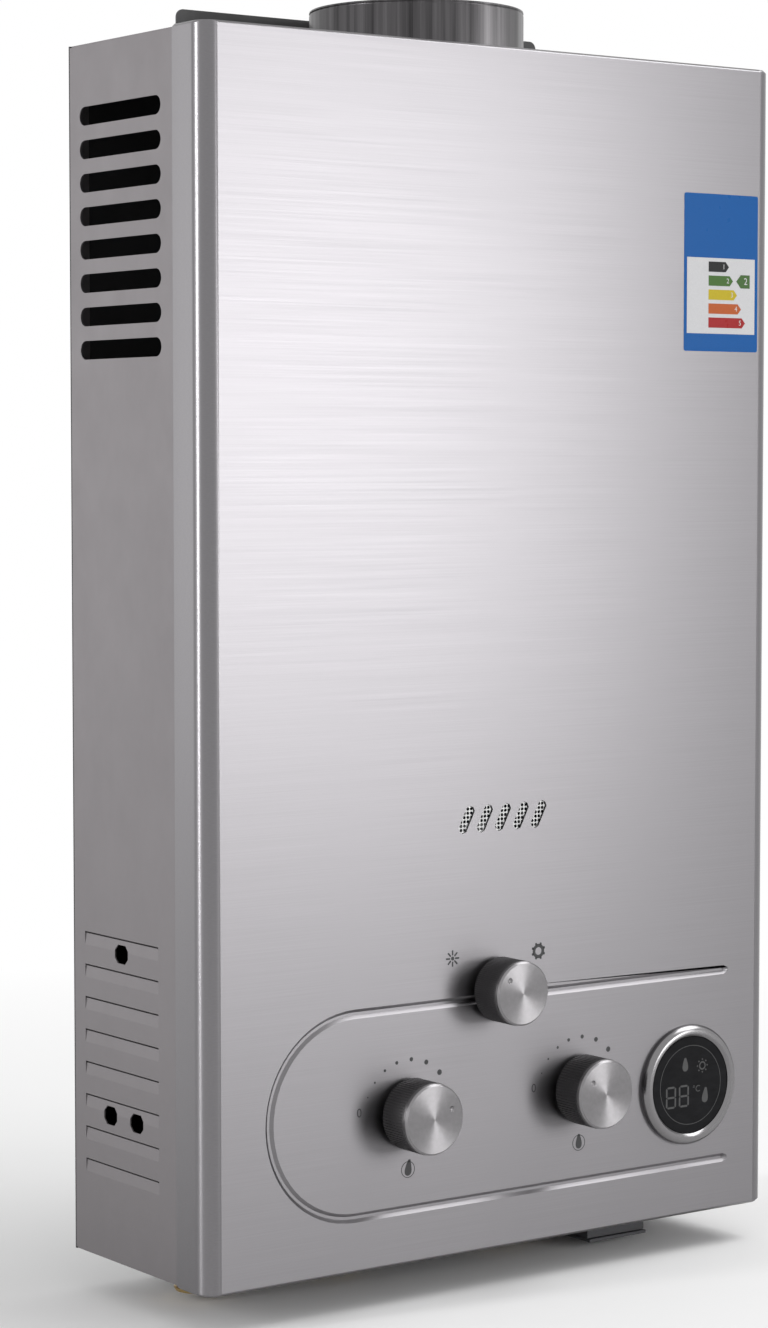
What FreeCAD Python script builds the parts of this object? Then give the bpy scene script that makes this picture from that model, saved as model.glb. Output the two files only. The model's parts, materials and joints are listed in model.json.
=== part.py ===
# Wall-hung gas water heater for a caravan or camper, millimetres.
# Origin: centre of the back plate's wall face. X to the right as seen from the
# front, Y into the wall (the front of the heater is at -Y), Z up.

import FreeCAD, Part
import math
import os
import re
import Sketcher
from FreeCAD import Placement, Rotation, Vector

doc = FreeCAD.newDocument("WaterHeater")
sheet = doc.addObject("Spreadsheet::Sheet", "Sizes")
pieces = []


# Driving sizes

sizes = {
    "case_width": 350,  # casing, side to side over the cover
    "case_height": 590,  # casing, top to bottom over the cover
    "case_depth": 120,  # wall face to the front of the cover
    "cover_depth": 25,  # visible depth of the cover's side flange
    "cover_wall": 0.8,  # sheet of the front cover
    "cover_corner": 9,  # radius of the cover's upright front corners
    "cover_fold": 1.5,  # bevel of the cover's top and bottom folds
    "fit_gap": 0.2,  # clearance between the cover and the casing in it
    "panel_wall": 0.8,  # sheet of the side, top and bottom panels
    "back_wall": 1.0,  # sheet of the back plate
    "panel_overlap": 16,  # how far the side panels reach into the cover
    "panel_flange": 10,  # folded edges of the side panels
    "brazed_gap": 0.05,  # radial clearance of brazed, pressed and running fits
    "loose_gap": 0.3,  # clearance of loose fits

    "tab_width": 226,  # hanging tabs of the back plate, side to side
    "tab_top": 22,  # top hanging tab above the casing
    "tab_bottom": 18,  # bottom hanging tab below the casing
    "tab_corner": 4,  # corner radius of the hanging tabs
    "wall_hole_radius": 4,  # wall screw holes
    "wall_hole_pitch": 160,  # wall screw holes, centre to centre
    "top_hole_rise": 11,  # top wall holes above the casing
    "bottom_hole_drop": 9,  # bottom wall holes below the casing

    "vent_back": 10,  # vent slots and louvres, start from the wall
    "vent_length": 73.4,  # vent slots, end to end
    "vent_height": 9,  # vent slots, height
    "vent_pitch": 16,  # vent slots and louvres, spacing
    "vent_first": 147.5,  # lowest vent slot above the casing's middle
    "vent_count": 8,  # vent slots in a side panel
    "louvre_length": 69,  # louvres, end to end
    "louvre_first": 247,  # lowest louvre below the casing's middle
    "louvre_count": 8,  # louvres in a side panel
    "louvre_height": 6.5,  # sloping part of a louvre
    "louvre_depth": 3.2,  # how far a louvre is pressed in
    "oval_height": 9,  # oval air holes, height
    "oval_width": 12,  # oval air holes, width
    "oval_upper_y": 44.7,  # upper oval hole from the wall
    "oval_upper_drop": 142.6,  # upper oval hole below the casing's middle
    "oval_lower_y": 34,  # first lower oval hole from the wall
    "oval_lower_pitch": 24.1,  # lower oval holes, centre to centre
    "oval_lower_drop": 222.6,  # lower oval holes below the casing's middle

    "window_x": 0.5,  # flame window, centre left of the middle
    "window_drop": 80.5,  # flame window, centre below the middle
    "window_slot": 12.7,  # flame window slots, height of the slot
    "window_width": 5.2,  # flame window slots, width
    "window_pitch": 11.2,  # flame window slots, spacing
    "window_count": 5,  # flame window slots
    "window_lean": 22,  # lean of the window slots, degrees
    "slot_corner": 0.414,  # cut corners of the slots, as a share of their half width
    "screen_wall": 0.5,  # perforated screen, sheet
    "screen_margin": 6,  # screen beyond the outer slots
    "screen_hole": 1.5,  # side of the screen's square holes
    "screen_pitch": 3.1,  # spacing of the screen's holes

    "bead_radius": 49.3,  # middle line of the pressed bead's round end
    "bead_arc_x": 89.7,  # centre of that round end, left of the middle
    "bead_drop": 218.8,  # centre of that round end below the middle
    "bead_end": 147.7,  # centre of the bead's rounded right ends
    "bead_width": 4.6,  # bead, across its mouth
    "bead_floor": 1.4,  # bead, across its flat bottom
    "bead_depth": 1.3,  # depth of the bead below the cover face

    "gas_knob_x": 58.3,  # gas knob left of the middle
    "water_knob_x": 48.3,  # water knob right of the middle
    "knob_drop": 220.7,  # gas and water knobs below the middle
    "season_knob_x": 4.5,  # season knob left of the middle
    "season_knob_drop": 165,  # season knob below the middle
    "knob_radius": 17.5,  # gas and water knobs
    "season_knob_radius": 16,  # season knob
    "knob_stand": 3,  # gap between a knob and the cover
    "knob_front": 22,  # knob face in front of the cover
    "knob_cap": 2.5,  # thickness of a knob's metal cap
    "cap_setback": 0.25,  # cap smaller than its knob, on the radius
    "grip_count": 24,  # flats round a knob for the fingers
    "dimple_radius": 1.3,  # pointer dimple in a cap
    "dimple_place": 11,  # pointer dimple from the knob's axis
    "gas_rest": 22.6,  # gas pointer at rest, degrees from the right
    "water_rest": 142,  # water pointer at rest, degrees from the right
    "season_rest": 139,  # season pointer at rest, degrees from the right
    "spindle_radius": 3,  # valve spindles
    "spindle_flat": 0.6,  # depth of the spindle's flat
    "spindle_hole": 4.6,  # holes in the cover for the spindles
    "spindle_depth": 20,  # how far a spindle reaches into its valve

    "display_x": 120,  # display right of the middle
    "display_drop": 226.7,  # display below the middle
    "bezel_radius": 31,  # display bezel, outside
    "bezel_height": 4.5,  # display bezel in front of the cover
    "bezel_chamfer": 1.9,  # chamfer of the bezel
    "lens_radius": 25.3,  # display glass
    "lens_thickness": 2,  # display glass
    "display_back": 19,  # depth of the housing behind the cover

    "flue_x": 6.6,  # flue axis left of the middle
    "flue_y": 56,  # flue axis from the wall
    "flue_radius": 53.5,  # flue collar, outside
    "flue_wall": 0.8,  # flue collar, sheet
    "flue_rise": 22,  # flue collar above the casing
    "flue_inside": 10,  # flue collar below the top plate
    "flue_bead": 1,  # swaged ring of the collar that rests on the top plate
    "flue_notch": 0.4,  # clearance of the cover round the swaged ring

    "box_x": 102,  # battery box, centre right of the middle
    "box_back": 9,  # battery box, back from the wall
    "box_width": 38,  # battery box, side to side
    "box_wall": 1.5,  # battery box, wall
    "box_drop": 14.1,  # battery box below the casing
    "cell_radius": 17,  # cells
    "cell_height": 61.5,  # cells, height
    "cell_gap": 0.5,  # cells above the door
    "contact_space": 6.5,  # room for the contacts above the cells
    "door_wall": 1.6,  # battery door
    "hinge_radius": 2.3,  # knuckle and ears of the door's hinge
    "pin_radius": 1.2,  # pin of the door's hinge
    "ear_width": 5,  # ears that hold the hinge pin
    "ear_radius": 2.5,  # eight-sided ends of the ears, over their corners

    "connection_y": 50,  # pipe connections from the wall
    "connection_drop": 15,  # pipe connections below the casing
    "thread_radius": 10.48,  # half-inch pipe thread, outside
    "thread_length": 14,  # pipe thread, length
    "neck_radius": 10.4,  # six-sided neck above the thread, over its corners
    "nipple_bore": 7,  # bore of the connections
    "hot_x": 136,  # hot outlet left of the middle
    "pipe_radius": 6,  # water pipes, outside
    "gas_pipe_radius": 5,  # gas pipe, outside
    "riser_gap": 17.2,  # cold riser's axis inside the right panel

    "chamber_width": 224,  # combustion chamber, side to side
    "chamber_depth": 70,  # combustion chamber, front to back
    "chamber_y": 58,  # combustion chamber axis from the wall
    "chamber_wall": 1.0,  # combustion chamber, sheet
    "burner_top": 95,  # burner frame's top below the middle
    "burner_height": 57,  # burner frame, height
    "chamber_height": 155,  # combustion chamber, height
    "exchanger_height": 70,  # heat exchanger, height
    "tube_radius": 6.5,  # heat exchanger tubes
    "tube_pitch": 16,  # heat exchanger tubes, spacing
    "fin_pitch": 14,  # heat exchanger fins, spacing
    "fin_wall": 3,  # heat exchanger fins, thickness
    "fin_count": 15,  # gaps between the fins
    "fin_depth": 21,  # depth of the gaps between the fins
    "burner_count": 10,  # burner bars
    "burner_pitch": 21,  # burner bars, spacing
    "burner_width": 11,  # burner bars, width
    "manifold_y": 106,  # front of the gas manifold from the wall
    "manifold_depth": 8,  # gas manifold, front to back
    "manifold_height": 14,  # gas manifold, height
    "manifold_rise": 9,  # manifold axis above the burner frame's bottom
    "nozzle_length": 7.4,  # gas nozzles
    "nozzle_radius": 3,  # gas nozzles

    "valve_y": 60,  # valve centre line from the wall
    "valve_depth": 50,  # gas valve, front to back
    "valve_height": 50,  # gas valve, height
    "gas_valve_left": 86,  # left end of the gas valve
    "gas_valve_right": 24,  # right end of the gas valve
    "gland_length": 15,  # spindle glands of the valves
    "gland_radius": 9,  # six-sided spindle glands, over their corners
    "water_valve_left": 20,  # joint face of the water valve
    "water_valve_right": 74,  # right end of the water valve
    "diaphragm_radius": 27,  # diaphragm housing
    "diaphragm_wall": 1,  # diaphragm
    "diaphragm_flange": 14,  # thickness of each half of the housing
    "rod_radius": 2,  # push rod
    "rod_collar": 5,  # collar on the push rod
    "season_valve_half": 12,  # season valve, half its width and height
    "season_valve_length": 42,  # season valve, front to back
    "valve_corner": 4,  # bevel of the valve castings
    "drain_x": 69,  # drain plug right of the middle
    "drain_radius": 4,  # drain plug
    "collar_radius": 14,  # six-sided upper part of the connections, over its corners
    "filter_height": 6,  # strainer in the cold inlet
    "outlet_height": 22,  # top of the hot outlet above the bottom plate
    "elbow_half": 8,  # cast elbows of the water pipes, half their side
    "electrode_rise": 11,  # electrodes above the burner frame
    "spark_x": 70,  # spark electrode right of the middle
    "sensor_x": 88,  # flame sensor right of the middle
    "ceramic_radius": 2.5,  # ceramic of the electrodes
    "module_x": 120,  # ignition module, centre right of the middle
    "module_drop": 185,  # ignition module, centre below the middle
    "module_width": 60,  # ignition module, side to side and high
    "module_depth": 28,  # ignition module, front to back
    "lead_side": 2,  # leads of square section, side to side
    "lead_corner": 7,  # how far the corners of the leads are cut back
    "switch_drop": 206,  # microswitch lever's pivot below the middle
    "lever_x": 2.7,  # microswitch lever's pivot left of the middle
    "lever_length": 12,  # microswitch lever below its pivot
    "screw_head": 3.6,  # cover screws, head over its corners
    "screw_height": 1.4,  # cover screws, height of the head
    "cover_screw_x": 120,  # cover screws from the middle
    "cover_screw_y": 100,  # cover screws from the wall
}
for row, (alias, number) in enumerate(sizes.items(), 1):
    sheet.set(f"A{row}", alias.replace("_", " "))
    sheet.set(f"B{row}", str(number))
    sheet.setAlias(f"B{row}", alias)
doc.recompute()


# Shorthand for the faces that many pieces share

SKIN = "(cover_wall + fit_gap)"
SIDE = f"(case_width / 2 - {SKIN})"
END = f"(case_height / 2 - {SKIN})"
PANEL_FRONT = "(case_depth - cover_depth + panel_overlap)"
COVER_INSIDE = "(case_depth - cover_wall)"
CHAMBER_FRONT = "(chamber_y + chamber_depth / 2)"
CHAMBER_BACK = "(chamber_y - chamber_depth / 2)"
BURNER_BOTTOM = "(burner_top + burner_height)"
CHAMBER_TOP = "(chamber_height - burner_top)"
EXCHANGER_TOP = "(chamber_height - burner_top + exchanger_height)"
TUBE_HEIGHT = "(chamber_height - burner_top + exchanger_height / 2)"
VALVE_FRONT = "(valve_y + valve_depth / 2)"
VALVE_TOP = "(knob_drop - valve_height / 2)"
VALVE_BOTTOM = "(knob_drop + valve_height / 2)"
FLOOR_TOP = f"({END} - panel_wall)"
BOX_BOTTOM = "(case_height / 2 + box_drop)"
BOX_HEIGHT = "(cell_gap + cell_height + contact_space + box_wall)"
DOOR_BOTTOM = f"({BOX_BOTTOM} + loose_gap + door_wall)"
BOX_DEPTH = "(4 * cell_radius + 5 + 2 * box_wall)"
HINGE_Y = "(box_back - hinge_radius - loose_gap)"
HINGE_DROP = f"({DOOR_BOTTOM} - hinge_radius)"
MANIFOLD_DROP = f"({BURNER_BOTTOM} - manifold_rise)"
ELECTRODE_DROP = "(burner_top - electrode_rise)"


# Helpers

def bound(text):
    """Expression text with the sheet's name put before each alias."""
    return re.sub(r"[a-z]\w+", lambda word: f"Sizes.{word[0]}" if word[0] in sizes else word[0], text)


def worth(text):
    """Number that an expression gives with the sheet's present sizes."""
    answer = sheet.evalExpression(bound(text))
    return float(getattr(answer, "Value", answer))


def spot(x, y, z):
    """Point from three expressions."""
    return Vector(worth(x), worth(y), worth(z))


def keep(shape, label):
    """Name a finished sub-part and put it on the list of pieces."""
    shape.Label = label
    pieces.append(shape)
    return shape


def put(shape, x, y, z):
    """Bind an object's place to three expressions."""
    for axis, text in zip("xyz", (x, y, z)):
        shape.setExpression(f"Placement.Base.{axis}", bound(text))
    return shape


def box(name, x, y, z, wide, deep, high):
    """Block from its lowest corner and its three sides."""
    block = doc.addObject("Part::Box", name)
    block.setExpression("Length", bound(wide))
    block.setExpression("Width", bound(deep))
    block.setExpression("Height", bound(high))
    return put(block, x, y, z)


AXIS_TURNS = {
    "x": Rotation(Vector(0, 1, 0), 90),
    "y": Rotation(Vector(1, 0, 0), -90),
    "z": Rotation(),
}


def cylinder(name, axis, x, y, z, radius, length):
    """Cylinder that starts at a point and runs up its axis."""
    rod = doc.addObject("Part::Cylinder", name)
    rod.setExpression("Radius", bound(radius))
    rod.setExpression("Height", bound(length))
    rod.Placement = Placement(Vector(), AXIS_TURNS[axis])
    return put(rod, x, y, z)


def prism(name, axis, x, y, z, radius, length, sides=6):
    """Bar with flat sides that starts at a point and runs up its axis."""
    bar = doc.addObject("Part::Prism", name)
    bar.Polygon = sides
    bar.setExpression("Circumradius", bound(radius))
    bar.setExpression("Height", bound(length))
    bar.Placement = Placement(Vector(), AXIS_TURNS[axis])
    return put(bar, x, y, z)


def wedge(name, bottom, top, low, high):
    """Tapered block between two rectangles; each is left, right, back and front from the wall."""
    block = doc.addObject("Part::Wedge", name)
    block.setExpression("Ymin", bound(low))
    block.setExpression("Ymax", bound(high))
    for word, text in zip(("Xmin", "Xmax", "Zmin", "Zmax"), bottom):
        block.setExpression(word, bound(text))
    for word, text in zip(("X2min", "X2max", "Z2min", "Z2max"), top):
        block.setExpression(word, bound(text))
    block.Placement = Placement(Vector(), Rotation(Vector(1, 0, 0), 90))
    return block


def fuse(name, shapes):
    """One solid of several."""
    joined = doc.addObject("Part::MultiFuse", name)
    joined.Shapes = shapes
    return joined


def cut(name, base, tools):
    """A solid less one or several others."""
    result = doc.addObject("Part::Cut", name)
    result.Base = base
    result.Tool = tools[0] if len(tools) == 1 else fuse(f"{name}_tools", tools)
    return result


def group(name, shapes):
    """Several separate solids in one node."""
    together = doc.addObject("Part::Compound", name)
    together.Links = shapes
    return together


def new_body(name):
    """Empty PartDesign body."""
    return doc.addObject("PartDesign::Body", name)


def role(body, wanted):
    """Plane or axis of a body's origin, by its role."""
    return [item for item in body.Origin.OriginFeatures if item.Role == wanted][0]


def new_sketch(body, name, plane, offset="0"):
    """Sketch on an origin plane, moved along the plane's normal."""
    drawing = body.newObject("Sketcher::SketchObject", name)
    drawing.AttachmentSupport = [(role(body, plane), "")]
    drawing.MapMode = "FlatFace"
    drawing.setExpression("AttachmentOffset.Base.z", bound(offset))
    return drawing


def pin_point(drawing, edge, end, x, y):
    """Hold one point of a sketch at two expressions."""
    for kind, axis, text in (("DistanceX", -2, x), ("DistanceY", -1, y)):
        if text == "0":
            drawing.addConstraint(Sketcher.Constraint("PointOnObject", edge, end, axis))
            continue
        index = drawing.addConstraint(Sketcher.Constraint(kind, -1, 1, edge, end, worth(text)))
        drawing.setExpression(f"Constraints[{index}]", bound(text))


def draw_outline(drawing, corners):
    """Closed outline of straight edges through corners given as expressions."""
    first = drawing.GeometryCount
    points = [Vector(worth(x), worth(y), 0) for x, y in corners]
    count = len(points)
    lines = [Part.LineSegment(points[i], points[(i + 1) % count]) for i in range(count)]
    drawing.addGeometry(lines, False)
    for i in range(count):
        following = first + (i + 1) % count
        drawing.addConstraint(Sketcher.Constraint("Coincident", first + i, 2, following, 1))
    for i, (x, y) in enumerate(corners):
        pin_point(drawing, first + i, 1, x, y)
    return drawing


def draw_rectangle(drawing, left, right, low, high):
    """Rectangle between four expressions."""
    return draw_outline(drawing, [(left, low), (right, low), (right, high), (left, high)])


def draw_circle(drawing, x, y, radius):
    """Circle at a point, all given as expressions."""
    centre = Vector(worth(x), worth(y), 0)
    edge = drawing.addGeometry(Part.Circle(centre, Vector(0, 0, 1), worth(radius)), False)
    pin_point(drawing, edge, 3, x, y)
    index = drawing.addConstraint(Sketcher.Constraint("Radius", edge, worth(radius)))
    drawing.setExpression(f"Constraints[{index}]", bound(radius))
    return drawing


def draw_slot(drawing, centre, heading, reach, half):
    """Slot with cut corners along a heading: reach is half its length, half is half its width."""
    cut_back = f"(1 - slot_corner) * ({half})"
    outline = []
    for side, end, inset, shrink in ((1, 1, cut_back, "0"), (1, 1, "0", cut_back), (-1, 1, "0", cut_back),
                                     (-1, 1, cut_back, "0"), (-1, -1, cut_back, "0"), (-1, -1, "0", cut_back),
                                     (1, -1, "0", cut_back), (1, -1, cut_back, "0")):
        along = f"{end} * ({reach} - {inset})"
        across = f"{side} * ({half} - {shrink})"
        outline.append((f"{centre[0]} + {along} * {heading[0]} - {across} * {heading[1]}",
                        f"{centre[1]} + {along} * {heading[1]} + {across} * {heading[0]}"))
    return draw_outline(drawing, outline)


def pad(body, profile, length, midplane=False):
    """Pad of a sketch, on one side or on both."""
    feature = body.newObject("PartDesign::Pad", f"{profile.Name}_pad")
    feature.Profile = profile
    feature.setExpression("Length", bound(length))
    feature.Midplane = midplane
    return feature


def pocket(body, profile, length):
    """Pocket that cuts the same depth on both sides of its sketch."""
    feature = body.newObject("PartDesign::Pocket", f"{profile.Name}_pocket")
    feature.Profile = profile
    feature.setExpression("Length", bound(length))
    feature.Midplane = True
    return feature


def revolve(body, profile):
    """Full turn of a sketch about its upright axis."""
    feature = body.newObject("PartDesign::Revolution", f"{profile.Name}_turn")
    feature.Profile = profile
    feature.ReferenceAxis = (profile, ["V_Axis"])
    feature.Angle = 360
    return feature


def sweep(body, kind, profile, path):
    """Sweep of a profile along a path sketch; kind says whether it adds or cuts."""
    feature = body.newObject(f"PartDesign::{kind}Pipe", f"{profile.Name}_sweep")
    feature.Profile = profile
    feature.Spine = (path, [f"Edge{i + 1}" for i in range(path.GeometryCount)])
    return feature


def repeat(body, features, axis, pitch, count):
    """Row of copies along one of the body's axes."""
    row = body.newObject("PartDesign::LinearPattern", f"{features[-1].Name}_row")
    row.Originals = features
    row.Direction = (role(body, axis), [""])
    row.setExpression("Occurrences", bound(count))
    row.setExpression("Length", bound(f"{pitch} * ({count} - 1)"))
    body.Tip = row
    return row


def edges_where(shape, test):
    """Names of the edges that pass a test."""
    return [f"Edge{i + 1}" for i, edge in enumerate(shape.Edges) if test(edge)]


def faces_where(shape, test):
    """Names of the faces that pass a test."""
    return [f"Face{i + 1}" for i, face in enumerate(shape.Faces) if test(face)]


def near(first, second):
    """True for two lengths that agree to a hundredth of a millimetre."""
    return abs(first - second) < 0.01


def runs_along(edge, direction):
    """True for a straight edge along a direction."""
    if not isinstance(edge.Curve, Part.Line):
        return False
    return abs(edge.tangentAt(edge.FirstParameter).dot(direction)) > 0.999


def round_edges(body, feature, names, radius):
    """Fillet on named edges of a body's last feature."""
    fillet = body.newObject("PartDesign::Fillet", f"{feature.Name}_fillet")
    fillet.Base = (feature, names)
    fillet.setExpression("Radius", bound(radius))
    return fillet


def bevel_edges(body, feature, names, side):
    """Chamfer on named edges of a body's last feature."""
    bevel = body.newObject("PartDesign::Chamfer", f"{feature.Name}_bevel")
    bevel.Base = (feature, names)
    bevel.setExpression("Size", bound(side))
    return bevel


def cut_path(points, cut_back):
    """Wire of straight runs whose corners are cut off."""
    places = points[:1]
    for before, corner, after in zip(points, points[1:], points[2:]):
        places.append(corner - (corner - before).normalize() * cut_back)
        places.append(corner + (after - corner).normalize() * cut_back)
    return Part.makePolygon(places + points[-1:])


def swept_shape(path, side):
    """Square solid swept with mitred corners along a path whose first run is along an axis."""
    start = path.Edges[0]
    place = start.valueAt(start.FirstParameter)
    heading = start.tangentAt(start.FirstParameter)
    across = Vector(0, 0, 1) if abs(heading.z) < 0.5 else Vector(1, 0, 0)
    beside = heading.cross(across)
    half = side / 2
    corners = [(half, half), (half, -half), (-half, -half), (-half, half), (half, half)]
    ring = Part.makePolygon([place + across * a + beside * b for a, b in corners])
    return path.makePipeShell([ring], True, False, 1)


def lead(name, points):
    """Lead of square section through points given as expressions, with its corners cut off."""
    path = cut_path([spot(*point) for point in points], worth("lead_corner"))
    piece = doc.addObject("Part::Feature", name)
    piece.Shape = swept_shape(path, worth("lead_side"))
    expected = worth("lead_side") ** 2 * path.Length
    if abs(piece.Shape.Volume - expected) > 0.01 * expected:
        raise ValueError(f"{name} has the wrong volume")
    return piece


def minus(text):
    """The same expression on the other side of zero."""
    return f"-1 * {text}"


# Casing

def make_back_plate():
    """Steel plate against the wall, with a hanging tab above and one below."""
    body = new_body("back_plate_body")
    half = "tab_width / 2"
    top = "case_height / 2 + tab_top"
    bottom = "-(case_height / 2 + tab_bottom)"
    outline = new_sketch(body, "back_outline", "XZ_Plane")
    draw_outline(outline, [
        (minus(SIDE), minus(END)), (minus(f"({half})"), minus(END)),
        (minus(f"({half})"), bottom), (half, bottom),
        (half, minus(END)), (SIDE, minus(END)),
        (SIDE, END), (half, END),
        (half, top), (minus(f"({half})"), top),
        (minus(f"({half})"), END), (minus(SIDE), END),
    ])
    plate = pad(body, outline, "back_wall")
    doc.recompute()
    height = worth("case_height / 2")
    corners = edges_where(plate.Shape, lambda edge: runs_along(edge, Vector(0, 1, 0))
                          and abs(edge.CenterOfMass.z) > height + 1)
    rounded = round_edges(body, plate, corners, "tab_corner")
    holes = new_sketch(body, "back_holes", "XZ_Plane")
    for x in ("-wall_hole_pitch / 2", "wall_hole_pitch / 2"):
        draw_circle(holes, x, "case_height / 2 + top_hole_rise", "wall_hole_radius")
        draw_circle(holes, x, "-(case_height / 2 + bottom_hole_drop)", "wall_hole_radius")
    body.Tip = pocket(body, holes, "4 * back_wall")
    return keep(body, "back_plate")


def make_side_panel():
    """Left side panel: folded sheet with vent slots above and louvres below."""
    body = new_body("side_panel_body")
    outer = minus(SIDE)
    inner = f"{outer} + panel_wall"
    lip = f"{outer} + panel_flange"
    front = minus(PANEL_FRONT)
    profile = new_sketch(body, "side_profile", "XY_Plane")
    draw_outline(profile, [
        (outer, "-back_wall"), (lip, "-back_wall"),
        (lip, "-back_wall - panel_wall"), (inner, "-back_wall - panel_wall"),
        (inner, f"{front} + panel_wall"), (lip, f"{front} + panel_wall"),
        (lip, front), (outer, front),
    ])
    pad(body, profile, f"2 * {FLOOR_TOP}", midplane=True)

    vents = new_sketch(body, "side_vent", "YZ_Plane", outer)
    draw_slot(vents, ("-(vent_back + vent_length / 2)", "vent_first"), ("1", "0"),
              "vent_length / 2", "vent_height / 2")
    slot = pocket(body, vents, "4 * panel_wall")
    repeat(body, [slot], "Z_Axis", "vent_pitch", "vent_count")

    slit = "-louvre_first"
    skin = new_sketch(body, "louvre_skin", "XZ_Plane", "vent_back")
    draw_outline(skin, [
        (outer, slit),
        (outer, f"{slit} - louvre_height - 2 * panel_wall"),
        (f"{outer} + louvre_depth + panel_wall", slit),
    ])
    pressed = pad(body, skin, "louvre_length")
    hollow = new_sketch(body, "louvre_hollow", "XZ_Plane", "vent_back + louvre_length / 2")
    draw_outline(hollow, [
        (f"{outer} - louvre_depth / 4", slit),
        (f"{outer} - louvre_depth / 4", f"{slit} - 1.25 * louvre_height"),
        (f"{outer} + louvre_depth", slit),
    ])
    opened = pocket(body, hollow, "louvre_length - 2 * panel_wall")
    repeat(body, [pressed, opened], "Z_Axis", "vent_pitch", "louvre_count")

    ovals = new_sketch(body, "side_ovals", "YZ_Plane", outer)
    for y, z in (("oval_upper_y", "-oval_upper_drop"), ("oval_lower_y", "-oval_lower_drop"),
                 ("(oval_lower_y + oval_lower_pitch)", "-oval_lower_drop")):
        draw_slot(ovals, (f"-1 * {y}", z), ("1", "0"), "oval_width / 2", "oval_height / 2")
    body.Tip = pocket(body, ovals, "4 * louvre_depth")
    return keep(body, "left_side_panel")


def make_right_side_panel(left):
    """Right side panel, the mirror image of the left one."""
    panel = doc.addObject("Part::Mirroring", "right_panel")
    panel.Source = left
    panel.Normal = Vector(1, 0, 0)
    return keep(panel, "right_side_panel")


def make_end_plate(label, side):
    """Top or bottom plate of the casing, with a folded front edge; side is 1 or -1."""
    body = new_body(f"{label}_body")
    outline = new_sketch(body, f"{label}_outline", "XY_Plane",
                         FLOOR_TOP if side > 0 else minus(END))
    half = f"({SIDE} - panel_wall)"
    draw_rectangle(outline, minus(half), half, minus(PANEL_FRONT), "-back_wall")
    pad(body, outline, "panel_wall")
    edge = new_sketch(body, f"{label}_edge", "XY_Plane",
                      f"{FLOOR_TOP} - panel_flange" if side > 0 else minus(FLOOR_TOP))
    reach = f"({SIDE} - panel_flange - loose_gap)"
    draw_rectangle(edge, minus(reach), reach, minus(PANEL_FRONT), f"panel_wall - {PANEL_FRONT}")
    pad(body, edge, "panel_flange")
    holes = new_sketch(body, f"{label}_holes", "XY_Plane", f"{side} * {END}")
    if side > 0:
        draw_circle(holes, "-flue_x", "-flue_y", "flue_radius + 2 * brazed_gap")
    else:
        for x in ("-hot_x", "-gas_knob_x", "water_knob_x"):
            draw_circle(holes, x, "-connection_y", "thread_radius + loose_gap")
        draw_slot(holes, ("drain_x", "-connection_y"), ("1", "0"),
                  "(drain_radius + loose_gap)", "(drain_radius + loose_gap)")
        draw_rectangle(holes, "box_x - box_width / 2 - loose_gap", "box_x + box_width / 2 + loose_gap",
                       f"-(box_back + {BOX_DEPTH} + loose_gap)", "-(box_back - loose_gap)")
    body.Tip = pocket(body, holes, "4 * panel_wall")
    return keep(body, label)


def make_cover_shell():
    """Folded front cover with rounded upright corners, open at the back."""
    body = new_body("cover_shell")
    outline = new_sketch(body, "cover_outline", "XZ_Plane", "case_depth - cover_depth")
    draw_rectangle(outline, "-case_width / 2", "case_width / 2", "-case_height / 2", "case_height / 2")
    block = pad(body, outline, "cover_depth")
    doc.recompute()
    front = -worth("case_depth")
    upright = edges_where(block.Shape, lambda edge: runs_along(edge, Vector(0, 0, 1))
                          and near(edge.CenterOfMass.y, front))
    corners = round_edges(body, block, upright, "cover_corner")
    doc.recompute()
    folds = edges_where(corners.Shape, lambda edge: runs_along(edge, Vector(1, 0, 0))
                        and near(edge.CenterOfMass.y, front))
    folded = bevel_edges(body, corners, folds, "cover_fold")
    doc.recompute()
    back = worth("cover_depth - case_depth")
    opened = faces_where(folded.Shape, lambda face: near(face.CenterOfMass.y, back))
    shell = body.newObject("PartDesign::Thickness", "cover_shelled")
    shell.Base = (folded, opened)
    shell.setExpression("Value", bound("cover_wall"))
    shell.Reversed = True
    return body


def cut_window_slots(body):
    """Row of leaning slots that show the flames."""
    slots = new_sketch(body, "window_slots", "XZ_Plane", "case_depth")
    draw_slot(slots, ("-window_x - window_pitch * (window_count - 1) / 2", "-window_drop"),
              ("sin(window_lean * 1deg)", "cos(window_lean * 1deg)"), "window_slot / 2", "window_width / 2")
    slot = pocket(body, slots, "4 * cover_wall")
    repeat(body, [slot], "X_Axis", "window_pitch", "window_count")


def bead_path(body):
    """U-shaped middle line of the bead: two runs to the right and a half ring on the left."""
    path = new_sketch(body, "bead_path", "XZ_Plane", "case_depth")
    centre = spot("-bead_arc_x", "-bead_drop", "0")
    reach = worth("bead_radius")
    up = Vector(0, reach, 0)
    right = Vector(worth("bead_arc_x + bead_end"), 0, 0)
    half_ring = Part.ArcOfCircle(Part.Circle(centre, Vector(0, 0, 1), reach), math.pi / 2, 3 * math.pi / 2)
    over = Part.LineSegment(centre + up + right, centre + up)
    under = Part.LineSegment(centre - up, centre - up + right)
    path.addGeometry([over, half_ring, under], False)
    path.addConstraint(Sketcher.Constraint("Tangent", 0, 2, 1, 1))
    path.addConstraint(Sketcher.Constraint("Tangent", 1, 2, 2, 1))
    pin_point(path, 0, 1, "bead_end", "bead_radius - bead_drop")
    pin_point(path, 1, 3, "-bead_arc_x", "-bead_drop")
    pin_point(path, 2, 2, "bead_end", "-bead_radius - bead_drop")
    index = path.addConstraint(Sketcher.Constraint("Radius", 1, reach))
    path.setExpression(f"Constraints[{index}]", bound("bead_radius"))
    return path


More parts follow.
